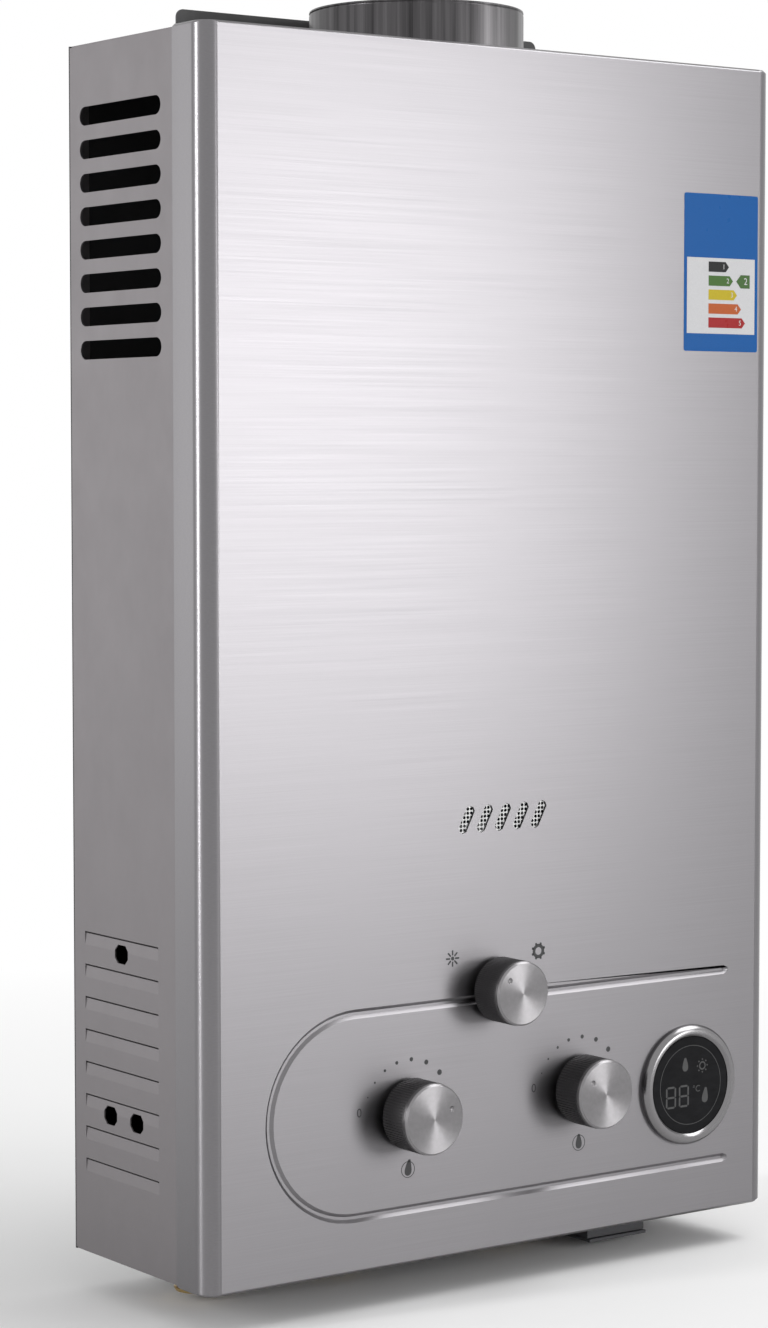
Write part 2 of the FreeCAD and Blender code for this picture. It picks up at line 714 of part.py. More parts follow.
def bead_section(body, name, mouth_y, mouth, floor_y, floor):
    """Cross-section of the bead at its upper right end: wide at the mouth, narrow at the floor."""
    section = new_sketch(body, name, "YZ_Plane", "bead_end")
    middle = "bead_radius - bead_drop"
    return draw_outline(section, [
        (mouth_y, f"{middle} - ({mouth}) / 2"), (floor_y, f"{middle} - ({floor}) / 2"),
        (floor_y, f"{middle} + ({floor}) / 2"), (mouth_y, f"{middle} + ({mouth}) / 2"),
    ])


def press_bead(body):
    """Bead pressed into the cover: its skin behind the sheet, then its groove in front."""
    path = bead_path(body)
    skin = bead_section(body, "bead_skin", "cover_wall / 2 - case_depth", "bead_width + 2 * cover_wall",
                        "bead_depth + cover_wall - case_depth", "bead_floor + 2 * cover_wall")
    sweep(body, "Additive", skin, path)
    groove = bead_section(body, "bead_groove", "-case_depth", "bead_width",
                          "bead_depth - case_depth", "bead_floor")
    body.Tip = sweep(body, "Subtractive", groove, path)


def make_front_cover():
    """Front cover: the shell with its pressed bead, window slots and holes."""
    shell = make_cover_shell()
    press_bead(shell)
    cut_window_slots(shell)
    notch = "flue_radius + flue_bead + flue_notch"
    tools = []
    for word, x, drop in (("gas", "-gas_knob_x", "knob_drop"), ("water", "water_knob_x", "knob_drop"),
                          ("season", "-season_knob_x", "season_knob_drop")):
        tools.append(prism(f"{word}_hole", "y", x, minus("(case_depth + 1)"), f"-{drop}",
                           "spindle_hole", "cover_wall + 4"))
    tools.append(cylinder("display_hole", "y", "display_x", minus("(case_depth + 1)"), "-display_drop",
                          "lens_radius + brazed_gap", "cover_wall + 4"))
    tools.append(cylinder("flue_hole", "z", "-flue_x", "-flue_y", "case_height / 2 - 4", notch, "8"))
    tools.append(box("flue_mouth", f"-flue_x - ({notch})", "-flue_y - 45", "case_height / 2 - 4",
                     f"2 * ({notch})", "45", "8"))
    return keep(cut("front_cover_cut", shell, tools), "front_cover")


def make_cover_screws():
    """Six-sided heads of the four screws that hold the cover."""
    heads = []
    for word, x in (("left", "-cover_screw_x"), ("right", "cover_screw_x")):
        heads.append(prism(f"screw_{word}_high", "z", x, "-cover_screw_y", "case_height / 2",
                           "screw_head", "screw_height"))
        heads.append(prism(f"screw_{word}_low", "z", x, "-cover_screw_y", "-case_height / 2 - screw_height",
                           "screw_head", "screw_height"))
    return keep(group("cover_screw_group", heads), "cover_screws")


def make_window_screen():
    """Perforated steel sheet behind the window slots."""
    half_wide = worth("window_pitch * (window_count - 1) / 2 + window_slot / 2 + screen_margin")
    half_high = worth("window_slot / 2 + screen_margin")
    front = -worth(COVER_INSIDE)
    middle = Vector(-worth("window_x"), front, -worth("window_drop"))
    corners = [Vector(x, 0, z) for x, z in ((-half_wide, -half_high), (half_wide, -half_high),
                                            (half_wide, half_high), (-half_wide, half_high))]
    outline = Part.makePolygon([middle + corner for corner in corners + corners[:1]])
    holes = []
    pitch = worth("screen_pitch")
    row_pitch = pitch * math.sqrt(3) / 2
    columns = int((half_wide - worth("screen_margin") / 2) / pitch)
    rows = int(worth("window_slot / 2") / row_pitch)
    for row in range(-rows, rows + 1):
        for column in range(-columns, columns + 1):
            x = (column + (row % 2) / 2) * pitch
            centre = middle + Vector(x, 0, row * row_pitch)
            ring = [centre + Vector(a, 0, b) * (worth("screen_hole") / 2)
                    for a, b in ((-1, -1), (-1, 1), (1, 1), (1, -1), (-1, -1))]
            if seen_through_window(x, row * row_pitch):
                holes.append(Part.makePolygon(ring))
    sheet_face = Part.Face([outline] + holes)
    piece = doc.addObject("Part::Feature", "window_screen")
    piece.Shape = sheet_face.extrude(Vector(0, worth("screen_wall"), 0))
    return keep(piece, "flame_window_screen")


def seen_through_window(x, z):
    """True where a hole of the screen shows through one of the leaning slots."""
    lean = math.tan(math.radians(worth("window_lean")))
    pitch = worth("window_pitch")
    first = -pitch * (worth("window_count") - 1) / 2
    across = (x - z * lean - first) / pitch
    nearest = min(max(round(across), 0), worth("window_count") - 1)
    return abs(across - nearest) * pitch < worth("window_width") / 2


# Flue and draught hood

def make_draught_hood():
    """Tapered sheet hood between the heat exchanger and the flue hole."""
    top = f"{FLOOR_TOP} - flue_inside"
    reach = "(flue_radius + loose_gap + fit_gap)"
    half = "chamber_width / 2"
    outer = wedge("hood_outer", (f"-{half}", half, CHAMBER_BACK, CHAMBER_FRONT),
                  (f"-flue_x - {reach}", f"-flue_x + {reach}", f"flue_y - {reach}", f"flue_y + {reach}"),
                  EXCHANGER_TOP, top)
    wall = "flue_wall"
    inner = wedge("hood_inner", (f"{wall} - {half}", f"{half} - {wall}",
                                 f"{CHAMBER_BACK} + {wall}", f"{CHAMBER_FRONT} - {wall}"),
                  (f"-flue_x - {reach} + {wall}", f"-flue_x + {reach} - {wall}",
                   f"flue_y - {reach} + {wall}", f"flue_y + {reach} - {wall}"), EXCHANGER_TOP, top)
    return keep(cut("hood", outer, [inner]), "draught_hood")


def make_flue_collar():
    """Round collar for the flue pipe, with a ring that rests on the top plate."""
    body = new_body("collar_body")
    section = new_sketch(body, "collar_section", "XZ_Plane")
    inner = "flue_radius - flue_wall"
    low = f"{FLOOR_TOP} - flue_inside"
    top = "case_height / 2 + flue_rise"
    draw_outline(section, [
        (inner, low), ("flue_radius", low), ("flue_radius", END), ("flue_radius + flue_bead", END),
        ("flue_radius", f"{END} + 2 * flue_bead"), ("flue_radius", top), (inner, top),
    ])
    revolve(body, section)
    put(body, "-flue_x", "-flue_y", "0")
    return keep(body, "flue_collar")


# Combustion chamber, heat exchanger and water pipes

def make_combustion_chamber():
    """Open sheet chamber over the burner, with a window and electrode holes."""
    body = new_body("chamber_body")
    walls = new_sketch(body, "chamber_walls", "XY_Plane", "-burner_top")
    draw_rectangle(walls, "-chamber_width / 2", "chamber_width / 2",
                   minus(CHAMBER_FRONT), minus(CHAMBER_BACK))
    inner = "(chamber_width / 2 - chamber_wall)"
    draw_rectangle(walls, minus(inner), inner,
                   f"chamber_wall - {CHAMBER_FRONT}", f"-chamber_wall - {CHAMBER_BACK}")
    pad(body, walls, "chamber_height")
    holes = new_sketch(body, "chamber_holes", "XZ_Plane", CHAMBER_FRONT)
    draw_slot(holes, ("-window_x", "-window_drop"), ("1", "0"),
              "(window_pitch * (window_count - 1) + window_slot) / 2", "window_slot / 2")
    reach = "(ceramic_radius + brazed_gap)"
    for x in ("spark_x", "sensor_x"):
        draw_rectangle(holes, f"{x} - {reach}", f"{x} + {reach}",
                       f"-1 * {ELECTRODE_DROP} - {reach}", f"-1 * {ELECTRODE_DROP} + {reach}")
    body.Tip = pocket(body, holes, "4 * chamber_wall")
    return keep(body, "combustion_chamber")


def make_chamber_brackets():
    """Two channel brackets that carry the chamber on the back plate."""
    brackets = []
    for word, x in (("left", "-(chamber_width / 2 - 1)"), ("right", "(chamber_width / 2 - 17)")):
        outer = box(f"bracket_{word}", x, minus(CHAMBER_BACK), "-60",
                    "16", f"{CHAMBER_BACK} - back_wall", "30")
        inner = box(f"bracket_{word}_inside", f"{x} + 1.5", f"1.5 - {CHAMBER_BACK}", "-62", "13",
                    f"{CHAMBER_BACK} - back_wall - 3", "34")
        brackets.append(cut(f"bracket_{word}_channel", outer, [inner]))
    return keep(group("chamber_bracket_group", brackets), "chamber_brackets")


def make_heat_exchanger():
    """Copper block of fins round three water tubes."""
    body = new_body("exchanger_body")
    outline = new_sketch(body, "exchanger_outline", "XY_Plane", CHAMBER_TOP)
    draw_rectangle(outline, "-chamber_width / 2", "chamber_width / 2",
                   minus(CHAMBER_FRONT), minus(CHAMBER_BACK))
    pad(body, outline, "exchanger_height")
    first = "-fin_pitch * (fin_count - 1) / 2"
    half_gap = "(fin_pitch - fin_wall) / 2"
    gaps = []
    for word, height in (("low", CHAMBER_TOP), ("high", EXCHANGER_TOP)):
        gap = new_sketch(body, f"fin_gap_{word}", "XY_Plane", height)
        draw_rectangle(gap, f"{first} - {half_gap}", f"{first} + {half_gap}",
                       f"2 * chamber_wall - {CHAMBER_FRONT}", f"-2 * chamber_wall - {CHAMBER_BACK}")
        gaps.append(pocket(body, gap, "2 * fin_depth"))
    repeat(body, gaps, "X_Axis", "fin_pitch", "fin_count")
    bores = new_sketch(body, "exchanger_bores", "YZ_Plane")
    for k in (-1, 0, 1):
        draw_slot(bores, (f"{k} * tube_pitch - chamber_y", TUBE_HEIGHT), ("1", "0"),
                  "(tube_radius + brazed_gap)", "(tube_radius + brazed_gap)")
    body.Tip = pocket(body, bores, "2 * chamber_width")
    return keep(body, "heat_exchanger")


TUBE_END = "(chamber_width / 2 + 6)"


def make_exchanger_tubes():
    """Three copper tubes through the fins, joined in turn by a brazed cap at each end."""
    parts = []
    for number, k in enumerate((-1, 0, 1)):
        parts.append(cylinder(f"fin_tube_{number + 1}", "x", "-chamber_width / 2 - 1",
                              f"{k} * tube_pitch - chamber_y", TUBE_HEIGHT,
                              "tube_radius", "chamber_width + 2"))
    wide = "2 * (tube_radius + 1)"
    for word, start, first in (("left", minus(f"({TUBE_END} + 2)"), -1), ("right", "chamber_width / 2", 0)):
        parts.append(box(f"tube_cap_{word}", start, f"{first} * tube_pitch - chamber_y - tube_radius - 1",
                         f"{TUBE_HEIGHT} - tube_radius - 1", f"{TUBE_END} + 2 - chamber_width / 2",
                         f"tube_pitch + {wide}", wide))
    for word, start, k in (("in", "chamber_width / 2", -1), ("out", minus(TUBE_END), 1)):
        parts.append(box(f"tube_{word}_block", start, f"{k} * tube_pitch - chamber_y - tube_radius",
                         f"{TUBE_HEIGHT} - tube_radius", f"{TUBE_END} - chamber_width / 2",
                         "2 * tube_radius", "2 * tube_radius"))
    return keep(fuse("tubes_and_caps", parts), "heat_exchanger_tube")


def elbow(name, x, y, height):
    """Cast elbow about the meeting point of two pipes."""
    return box(name, f"{x} - elbow_half", f"{y} - elbow_half", f"{height} - elbow_half",
               "2 * elbow_half", "2 * elbow_half", "2 * elbow_half")


def make_hot_water_pipe():
    """Copper pipe from the heat exchanger's left end, through a cast elbow, to the hot outlet."""
    low = f"(outlet_height - {FLOOR_TOP})"
    column = cylinder("hot_column", "z", "-hot_x", "-connection_y", low,
                      "pipe_radius", f"{TUBE_HEIGHT} - {low}")
    corner = box("hot_elbow", "-hot_x - elbow_half", "-connection_y - elbow_half",
                 f"{TUBE_HEIGHT} - elbow_half", "2 * elbow_half",
                 "connection_y + tube_pitch - chamber_y + 2 * elbow_half", "2 * elbow_half")
    arm = cylinder("hot_arm", "x", "-hot_x", "tube_pitch - chamber_y", TUBE_HEIGHT, "pipe_radius",
                   f"hot_x - {TUBE_END}")
    return keep(fuse("hot_pipe", [column, corner, arm]), "hot_water_pipe")


def make_cold_water_pipe():
    """Copper pipe from the water valve up to the heat exchanger's right end."""
    out = f"({SIDE} - panel_wall - riser_gap)"
    y = "(-tube_pitch - chamber_y)"
    level = "(6 - knob_drop)"
    run = cylinder("cold_run", "x", "water_valve_right", y, level,
                   "pipe_radius", f"{out} - water_valve_right")
    riser = cylinder("cold_riser", "z", out, y, level, "pipe_radius", f"{TUBE_HEIGHT} - {level}")
    top = cylinder("cold_top", "x", TUBE_END, y, TUBE_HEIGHT, "pipe_radius", f"{out} - {TUBE_END}")
    corners = [elbow("cold_elbow_low", out, y, level), elbow("cold_elbow_high", out, y, TUBE_HEIGHT)]
    return keep(fuse("cold_pipe", [run, riser, top] + corners), "cold_water_pipe")


def make_over_temperature_switch():
    """Thermal cut-out on the chamber's left wall."""
    disc = prism("cutout_disc", "x", "-chamber_width / 2 - 5", "-40", "46", "8", "5")
    lug = box("cutout_lug", "-chamber_width / 2 - 8", "-43", "44.5", "4", "6", "3")
    return keep(fuse("cutout", [disc, lug]), "over_temperature_switch")


# Burner

def make_burner_frame():
    """Sheet frame that holds the burner bars, with one opening for the nozzles."""
    body = new_body("frame_body")
    walls = new_sketch(body, "frame_walls", "XY_Plane", minus(BURNER_BOTTOM))
    draw_rectangle(walls, "-chamber_width / 2", "chamber_width / 2",
                   minus(CHAMBER_FRONT), minus(CHAMBER_BACK))
    inner = "(chamber_width / 2 - chamber_wall)"
    draw_rectangle(walls, minus(inner), inner,
                   f"chamber_wall - {CHAMBER_FRONT}", f"-chamber_wall - {CHAMBER_BACK}")
    pad(body, walls, "burner_height")
    hole = new_sketch(body, "frame_hole", "XZ_Plane", CHAMBER_FRONT)
    half = "(burner_pitch * (burner_count - 1) / 2 + nozzle_radius + 1.5)"
    draw_rectangle(hole, minus(half), half, f"-1 * {MANIFOLD_DROP} - nozzle_radius - 1.5",
                   f"-1 * {MANIFOLD_DROP} + nozzle_radius + 1.5")
    body.Tip = pocket(body, hole, "4 * chamber_wall")
    return keep(body, "burner_frame")


def make_burner_bars():
    """Flat burner bars with a mouth for the gas and a row of flame ports on top."""
    bars = []
    back = "burner_height - 4"
    for number in range(round(worth("burner_count"))):
        centre = f"({number} - (burner_count - 1) / 2) * burner_pitch"
        name = f"bar_{number + 1}"
        body = new_body(f"{name}_body")
        side = new_sketch(body, f"{name}_side", "YZ_Plane", centre)
        front = f"chamber_wall - {CHAMBER_FRONT}"
        rear = f"-chamber_wall - {CHAMBER_BACK}"
        low = f"-1 * {BURNER_BOTTOM} + 2"
        draw_outline(side, [
            (front, low), (f"{front} + 16", low), (f"{front} + 30", f"{low} + 26"),
            (rear, f"{low} + 32"), (rear, f"{low} + {back}"), (front, f"{low} + {back}"),
        ])
        pad(body, side, "burner_width", midplane=True)
        mouth = new_sketch(body, f"{name}_mouth", "XZ_Plane", f"-1 * ({front})")
        reach = "(nozzle_radius + 1.5)"
        draw_rectangle(mouth, f"{centre} - {reach}", f"{centre} + {reach}",
                       f"-1 * {MANIFOLD_DROP} - {reach}", f"-1 * {MANIFOLD_DROP} + {reach}")
        pocket(body, mouth, "12")
        port = new_sketch(body, f"{name}_port", "XY_Plane", f"{low} + {back}")
        length = "chamber_depth / 2 - 8"
        draw_rectangle(port, f"{centre} - 1", f"{centre} + 1",
                       f"-chamber_y - ({length})", f"-chamber_y + {length}")
        body.Tip = pocket(body, port, "6")
        bars.append(body)
    return keep(group("bar_group", bars), "burner_bars")


def make_gas_manifold():
    """Bar that shares the gas among the nozzles, screwed to the burner frame."""
    body = new_body("manifold_body")
    half = "(burner_pitch * burner_count / 2)"
    section = new_sketch(body, "manifold_section", "XY_Plane", f"-1 * {MANIFOLD_DROP} - manifold_height / 2")
    draw_outline(section, [
        (minus(half), "-manifold_y"), (half, "-manifold_y"),
        (half, minus(CHAMBER_FRONT)), (f"{half} - 3", minus(CHAMBER_FRONT)),
        (f"{half} - 3", "manifold_depth - manifold_y"), (f"3 - {half}", "manifold_depth - manifold_y"),
        (f"3 - {half}", minus(CHAMBER_FRONT)), (minus(half), minus(CHAMBER_FRONT)),
    ])
    block = pad(body, section, "manifold_height")
    doc.recompute()
    front = -worth("manifold_y")
    long_edges = edges_where(block.Shape, lambda edge: runs_along(edge, Vector(1, 0, 0))
                             and near(edge.CenterOfMass.y, front))
    body.Tip = round_edges(body, block, long_edges, "manifold_depth / 4")
    return keep(body, "gas_manifold")


def make_gas_nozzles():
    """Six-sided brass nozzles, one for each burner bar."""
    nozzles = []
    for number in range(round(worth("burner_count"))):
        x = f"({number} - (burner_count - 1) / 2) * burner_pitch"
        nozzles.append(prism(f"nozzle_{number + 1}", "y", x, "manifold_depth - manifold_y",
                             minus(MANIFOLD_DROP), "nozzle_radius", "nozzle_length"))
    return keep(group("nozzle_group", nozzles), "gas_nozzles")


# Ignition

def make_electrode_bracket():
    """Plate that holds the electrodes on the chamber's front."""
    plate = box("electrode_plate", "spark_x - 10", f"-1 * {CHAMBER_FRONT} - 1", f"-1 * {ELECTRODE_DROP} - 8",
                "sensor_x - spark_x + 20", "1", "16")
    reach = "(ceramic_radius + brazed_gap)"
    holes = []
    for x in ("spark_x", "sensor_x"):
        holes.append(box(f"plate_hole_{x}", f"{x} - {reach}", f"-1 * {CHAMBER_FRONT} - 2",
                         f"-1 * {ELECTRODE_DROP} - {reach}", f"2 * {reach}", "3", f"2 * {reach}"))
    return keep(cut("electrode_plate_cut", plate, holes), "electrode_bracket")


def electrode(label, x):
    """Six-sided ceramic with a flat wire into the flames."""
    ceramic = prism(f"{label}_ceramic", "y", x, f"-1 * {CHAMBER_FRONT} - 11", minus(ELECTRODE_DROP),
                    "ceramic_radius", "20")
    wire = box(f"{label}_wire", f"{x} - 0.8", f"9 - {CHAMBER_FRONT}", f"-1 * {ELECTRODE_DROP} - 0.8",
               "1.6", "9", "1.6")
    return fuse(f"{label}_rod", [ceramic, wire])


def make_electrodes():
    """Spark electrode and flame sensor, two rods of one kind."""
    rods = [electrode("spark", "spark_x"), electrode("sensor", "sensor_x")]
    return keep(group("electrode_group", rods), "electrodes")


def make_ignition_module():
    """Control box on the back plate."""
    body = new_body("module_body")
    outline = new_sketch(body, "module_outline", "XZ_Plane", "back_wall")
    half = "module_width / 2"
    draw_rectangle(outline, f"module_x - {half}", f"module_x + {half}",
                   f"-module_drop - {half}", f"-module_drop + {half}")
    block = pad(body, outline, "module_depth")
    doc.recompute()
    deep = edges_where(block.Shape, lambda edge: runs_along(edge, Vector(0, 1, 0)))
    body.Tip = bevel_edges(body, block, deep, "3")
    return keep(body, "ignition_module")


MODULE_TOP = "(module_width / 2 - module_drop)"
MODULE_LEFT = "(module_x - module_width / 2)"


def electrode_lead(label, x, reach, right, rise):
    """Lead from an electrode, out in front of the chamber and round it, to the module's top."""
    level = minus(ELECTRODE_DROP)
    raised = f"{rise} - {ELECTRODE_DROP}"
    front = f"-1 * {CHAMBER_FRONT} - {reach}"
    points = [
        (x, f"-1 * {CHAMBER_FRONT} - 11", level), (x, front, level), (right, front, raised),
        (right, "-20", raised), (right, "-20", MODULE_TOP),
    ]
    return lead(f"{label}_run", points)


def switch_lead():
    """Lead from the microswitch to the module."""
    x = "-lever_x - 5"
    level = "8 - switch_drop"
    return lead("switch_run", [(x, "-valve_y", level), (x, "-22", level), (MODULE_LEFT, "-22", level)])


def solenoid_lead():
    """Lead from the gas solenoid to the module."""
    x = "-gas_valve_left - 15"
    level = "-module_drop - 5"
    points = [
        (x, "-valve_y", "15 - knob_drop"), (x, "-valve_y", level),
        (x, "-12", level), (MODULE_LEFT, "-12", level),
    ]
    return lead("solenoid_run", points)


def display_lead():
    """Lead from the display to the module's front."""
    start = "display_back - case_depth"
    points = [
        ("display_x", start, "-display_drop"), ("display_x", f"{start} + 14", "-display_drop"),
        ("display_x", f"{start} + 14", "-module_drop - 10"),
        ("display_x", "-back_wall - module_depth", "-module_drop - 10"),
    ]
    return lead("display_run", points)


def battery_leads():
    """Two leads from the battery box up to the module."""
    leads = []
    for number, x in ((1, "box_x - 4"), (2, "box_x + 4")):
        leads.append(box(f"battery_run_{number}", x, "-20", f"{BOX_HEIGHT} - {BOX_BOTTOM}",
                         "lead_side", "lead_side",
                         f"{BOX_BOTTOM} - {BOX_HEIGHT} - module_drop - module_width / 2"))
    return leads


def make_leads():
    """Every lead of the control module, all of one cable."""
    runs = [
        electrode_lead("spark_lead", "spark_x", "20", "134", "14"),
        electrode_lead("sensor_lead", "sensor_x", "19", "129", "0"),
        switch_lead(), solenoid_lead(), display_lead(),
    ]
    return keep(group("lead_group", runs + battery_leads()), "module_leads")


# Gas and water valves

def valve_casting(name, left, right):
    """Cast block with bevelled upright edges."""
    body = new_body(f"{name}_body")
    outline = new_sketch(body, f"{name}_outline", "XY_Plane", minus(VALVE_BOTTOM))
    draw_rectangle(outline, left, right, minus(VALVE_FRONT), "valve_depth / 2 - valve_y")
    block = pad(body, outline, "valve_height")
    doc.recompute()
    upright = edges_where(block.Shape, lambda edge: runs_along(edge, Vector(0, 0, 1)))
    body.Tip = bevel_edges(body, block, upright, "valve_corner")
    return body


def spindle_bore(name, x, drop, front):
    """Bore for a spindle from the valve's front."""
    return cylinder(f"{name}_bore", "y", x, minus(f"({front} + 1)"), f"-{drop}",
                    "spindle_radius + brazed_gap", f"{front} + 1 - {VALVE_FRONT} + spindle_depth + loose_gap")


GLAND_FRONT = f"({VALVE_FRONT} + gland_length)"


def make_gas_valve():
    """Gas valve with a gland for its spindle and a bore for the push rod."""
    casting = valve_casting("gas_valve", "-gas_valve_left", "-gas_valve_right")
    gland = prism("gas_gland", "y", "-gas_knob_x", minus(GLAND_FRONT), "-knob_drop",
                  "gland_radius", "gland_length + 1")
    rod = cylinder("gas_rod_bore", "x", "-gas_valve_right - 22", "-valve_y", "-knob_drop",
                   "rod_radius + brazed_gap", "23")
    bore = spindle_bore("gas", "-gas_knob_x", "knob_drop", GLAND_FRONT)
    return keep(cut("gas_valve_cut", fuse("gas_valve_solid", [casting, gland]), [bore, rod]), "gas_valve")


def make_gas_solenoid():
    """Solenoid on the left end of the gas valve."""
    coil = box("solenoid_coil", "-gas_valve_left - 27", "-valve_y - 14", "-knob_drop - 14", "27", "28", "28")
    nut = prism("solenoid_nut", "x", "-gas_valve_left - 30", "-valve_y", "-knob_drop", "5", "4")
    return keep(fuse("solenoid", [coil, nut]), "gas_solenoid")


def make_season_valve():
    """Valve under the manifold that shuts off half of the burner."""
    x = "-season_knob_x"
    barrel = box("season_block", f"{x} - season_valve_half", "-manifold_y",
                 "-season_knob_drop - season_valve_half",
                 "2 * season_valve_half", "season_valve_length", "2 * season_valve_half")
    neck = box("season_neck", f"{x} - 6", "1 - manifold_y", "-season_knob_drop + 9", "12",
               "manifold_depth - 2", f"season_knob_drop - 9 - {MANIFOLD_DROP} - manifold_height / 2")
    arm = box("season_arm", "-gas_knob_x - gas_pipe_radius - 2", "-valve_y - 12 - gas_pipe_radius - 2",
              "-season_knob_drop - gas_pipe_radius - 2", "gas_knob_x - season_knob_x",
              "2 * gas_pipe_radius + 4", "2 * gas_pipe_radius + 4")
    bore = spindle_bore("season", x, "season_knob_drop", "manifold_y")
    solid = fuse("season_valve_solid", [barrel, neck, arm])
    return keep(cut("season_valve_cut", solid, [bore]), "season_valve")


def make_gas_pipe():
    """Gas pipe from the gas valve up to the season valve's arm."""
    riser = cylinder("gas_riser", "z", "-gas_knob_x", "-valve_y - 12", minus(VALVE_TOP), "gas_pipe_radius",
                     f"{VALVE_TOP} - season_knob_drop - gas_pipe_radius - 2")
    return keep(riser, "gas_pipe")


def make_water_valve():
    """Water valve with the right half of its eight-sided diaphragm housing."""
    casting = valve_casting("water_valve", "water_valve_left + diaphragm_flange / 2", "water_valve_right")
    flange = prism("water_flange", "x", "water_valve_left + diaphragm_wall / 2", "-valve_y", "-knob_drop",
                   "diaphragm_radius", "diaphragm_flange", 8)
    gland = prism("water_gland", "y", "water_knob_x", minus(GLAND_FRONT), "-knob_drop",
                  "gland_radius", "gland_length + 1")
    bore = spindle_bore("water", "water_knob_x", "knob_drop", GLAND_FRONT)
    solid = fuse("water_valve_solid", [casting, flange, gland])
    return keep(cut("water_valve_cut", solid, [bore]), "water_valve")


def make_water_valve_cover():
    """Left half of the diaphragm housing, with the push rod's gland."""
    end = "water_valve_left - diaphragm_wall / 2"
    half = prism("cover_half", "x", f"{end} - diaphragm_flange", "-valve_y", "-knob_drop",
                 "diaphragm_radius", "diaphragm_flange", 8)
    hollow = prism("cover_hollow", "x", f"{end} - 8", "-valve_y", "-knob_drop", "15", "9", 8)
    gland = cylinder("cover_gland", "x", f"{end} - diaphragm_flange - 1", "-valve_y", "-knob_drop",
                     "rod_radius + brazed_gap", "diaphragm_flange")
    return keep(cut("cover_half_cut", half, [hollow, gland]), "water_valve_cover")


def make_diaphragm():
    """Rubber sheet between the halves of the housing."""
    disc = prism("diaphragm_disc", "x", "water_valve_left - diaphragm_wall / 2", "-valve_y", "-knob_drop",
                 "diaphragm_radius", "diaphragm_wall", 8)
    return keep(disc, "diaphragm")


def make_water_valve_screws():
    """Four six-sided screw heads that clamp the diaphragm housing."""
    heads = []
    for number in range(4):
        turn = f"{45 + 90 * number} * 1deg"
        heads.append(prism(f"valve_screw_{number + 1}", "x",
                           "water_valve_left - diaphragm_wall / 2 - diaphragm_flange - 2",
                           f"-valve_y + (diaphragm_radius - 4) * cos({turn})",
                           f"-knob_drop + (diaphragm_radius - 4) * sin({turn})", "3.5", "2"))
    return keep(group("valve_screw_group", heads), "water_valve_screws")


def make_push_rod():
    """Rod that the diaphragm pushes into the gas valve, with a collar for the switch."""
    end = "water_valve_left - diaphragm_wall / 2 - loose_gap"
    rod = cylinder("rod_shaft", "x", "-gas_valve_right - 16", "-valve_y", "-knob_drop",
                   "rod_radius", f"{end} + gas_valve_right + 15")
    head = prism("rod_head", "x", f"{end} - 1.5", "-valve_y", "-knob_drop", "12", "1.5", 8)
    collar = prism("rod_ring", "x", "-2", "-valve_y", "-knob_drop", "rod_collar", "4", 8)
    return keep(fuse("rod", [rod, head, collar]), "push_rod")


def make_microswitch():
    """Switch that tells the module when water flows."""
    right = "water_valve_left - diaphragm_wall / 2 - diaphragm_flange"
    case = box("switch_case", "-lever_x - 15", "-valve_y - 10", "3 - switch_drop", f"{right} + lever_x + 15",
               "10", "10")
    ears = [box(f"switch_ear_{number}", "-lever_x - 2", y, "-switch_drop - 2", "4", "1", "6")
            for number, y in ((1, "-valve_y - 10"), (2, "-valve_y - 1"))]
    hole = prism("switch_pin_hole", "y", "-lever_x", "-valve_y - 11", "-switch_drop", "0.99", "12")
    return keep(cut("switch_cut", fuse("switch_solid", [case] + ears), [hole]), "microswitch")


def make_microswitch_lever():
    """Lever that hangs beside the push rod's collar."""
    blade = box("lever_blade", "-lever_x - 0.4", "-valve_y - 8.7", "-switch_drop - lever_length",
                "0.8", "7.4", "lever_length + 0.6")
    pin = cylinder("lever_pin", "y", "-lever_x", "-valve_y - 9.9", "-switch_drop", "0.8", "9.8")
    return keep(fuse("lever", [blade, pin]), "microswitch_lever")


def make_connection(label, x, top):
    """Threaded pipe connection through the bottom plate; top is its drop below the middle."""
    end = "(case_height / 2 + connection_drop)"
    nut = prism(f"{label}_nut", "z", x, "-connection_y", minus(FLOOR_TOP),
                "collar_radius", f"{FLOOR_TOP} - {top}")
    neck = prism(f"{label}_neck", "z", x, "-connection_y", f"thread_length - {end} - 1", "neck_radius",
                 f"{end} - thread_length - {FLOOR_TOP} + 2")
    thread = cylinder(f"{label}_thread", "z", x, "-connection_y", minus(end),
                      "thread_radius", "thread_length")
    bore = cylinder(f"{label}_bore", "z", x, "-connection_y", f"-1 * {end} - 1",
                    "nipple_bore", f"{end} - {top} - 2")
    return keep(cut(f"{label}_cut", fuse(f"{label}_solid", [nut, neck, thread]), [bore]), label)


def make_inlet_filter():
    """Eight-sided strainer in the cold inlet, under the water valve."""
    disc = prism("filter_disc", "z", "water_knob_x", "-connection_y",
                 f"-1 * {VALVE_BOTTOM} - 3 - filter_height", "nipple_bore - brazed_gap", "filter_height", 8)
    return keep(disc, "inlet_filter")


def make_drain_plug():
    """Drain plug of the water valve, reached from below."""
    stem = prism("drain_stem", "z", "drain_x", "-connection_y", "-case_height / 2 - 2",
                 "drain_radius", f"case_height / 2 + 2 - {VALVE_BOTTOM}", 8)
    cap = prism("drain_cap", "z", "drain_x", "-connection_y", "-case_height / 2 - 7",
                "drain_radius + 2.5", "5")
    return keep(fuse("drain", [stem, cap]), "drain_plug")


# Battery box

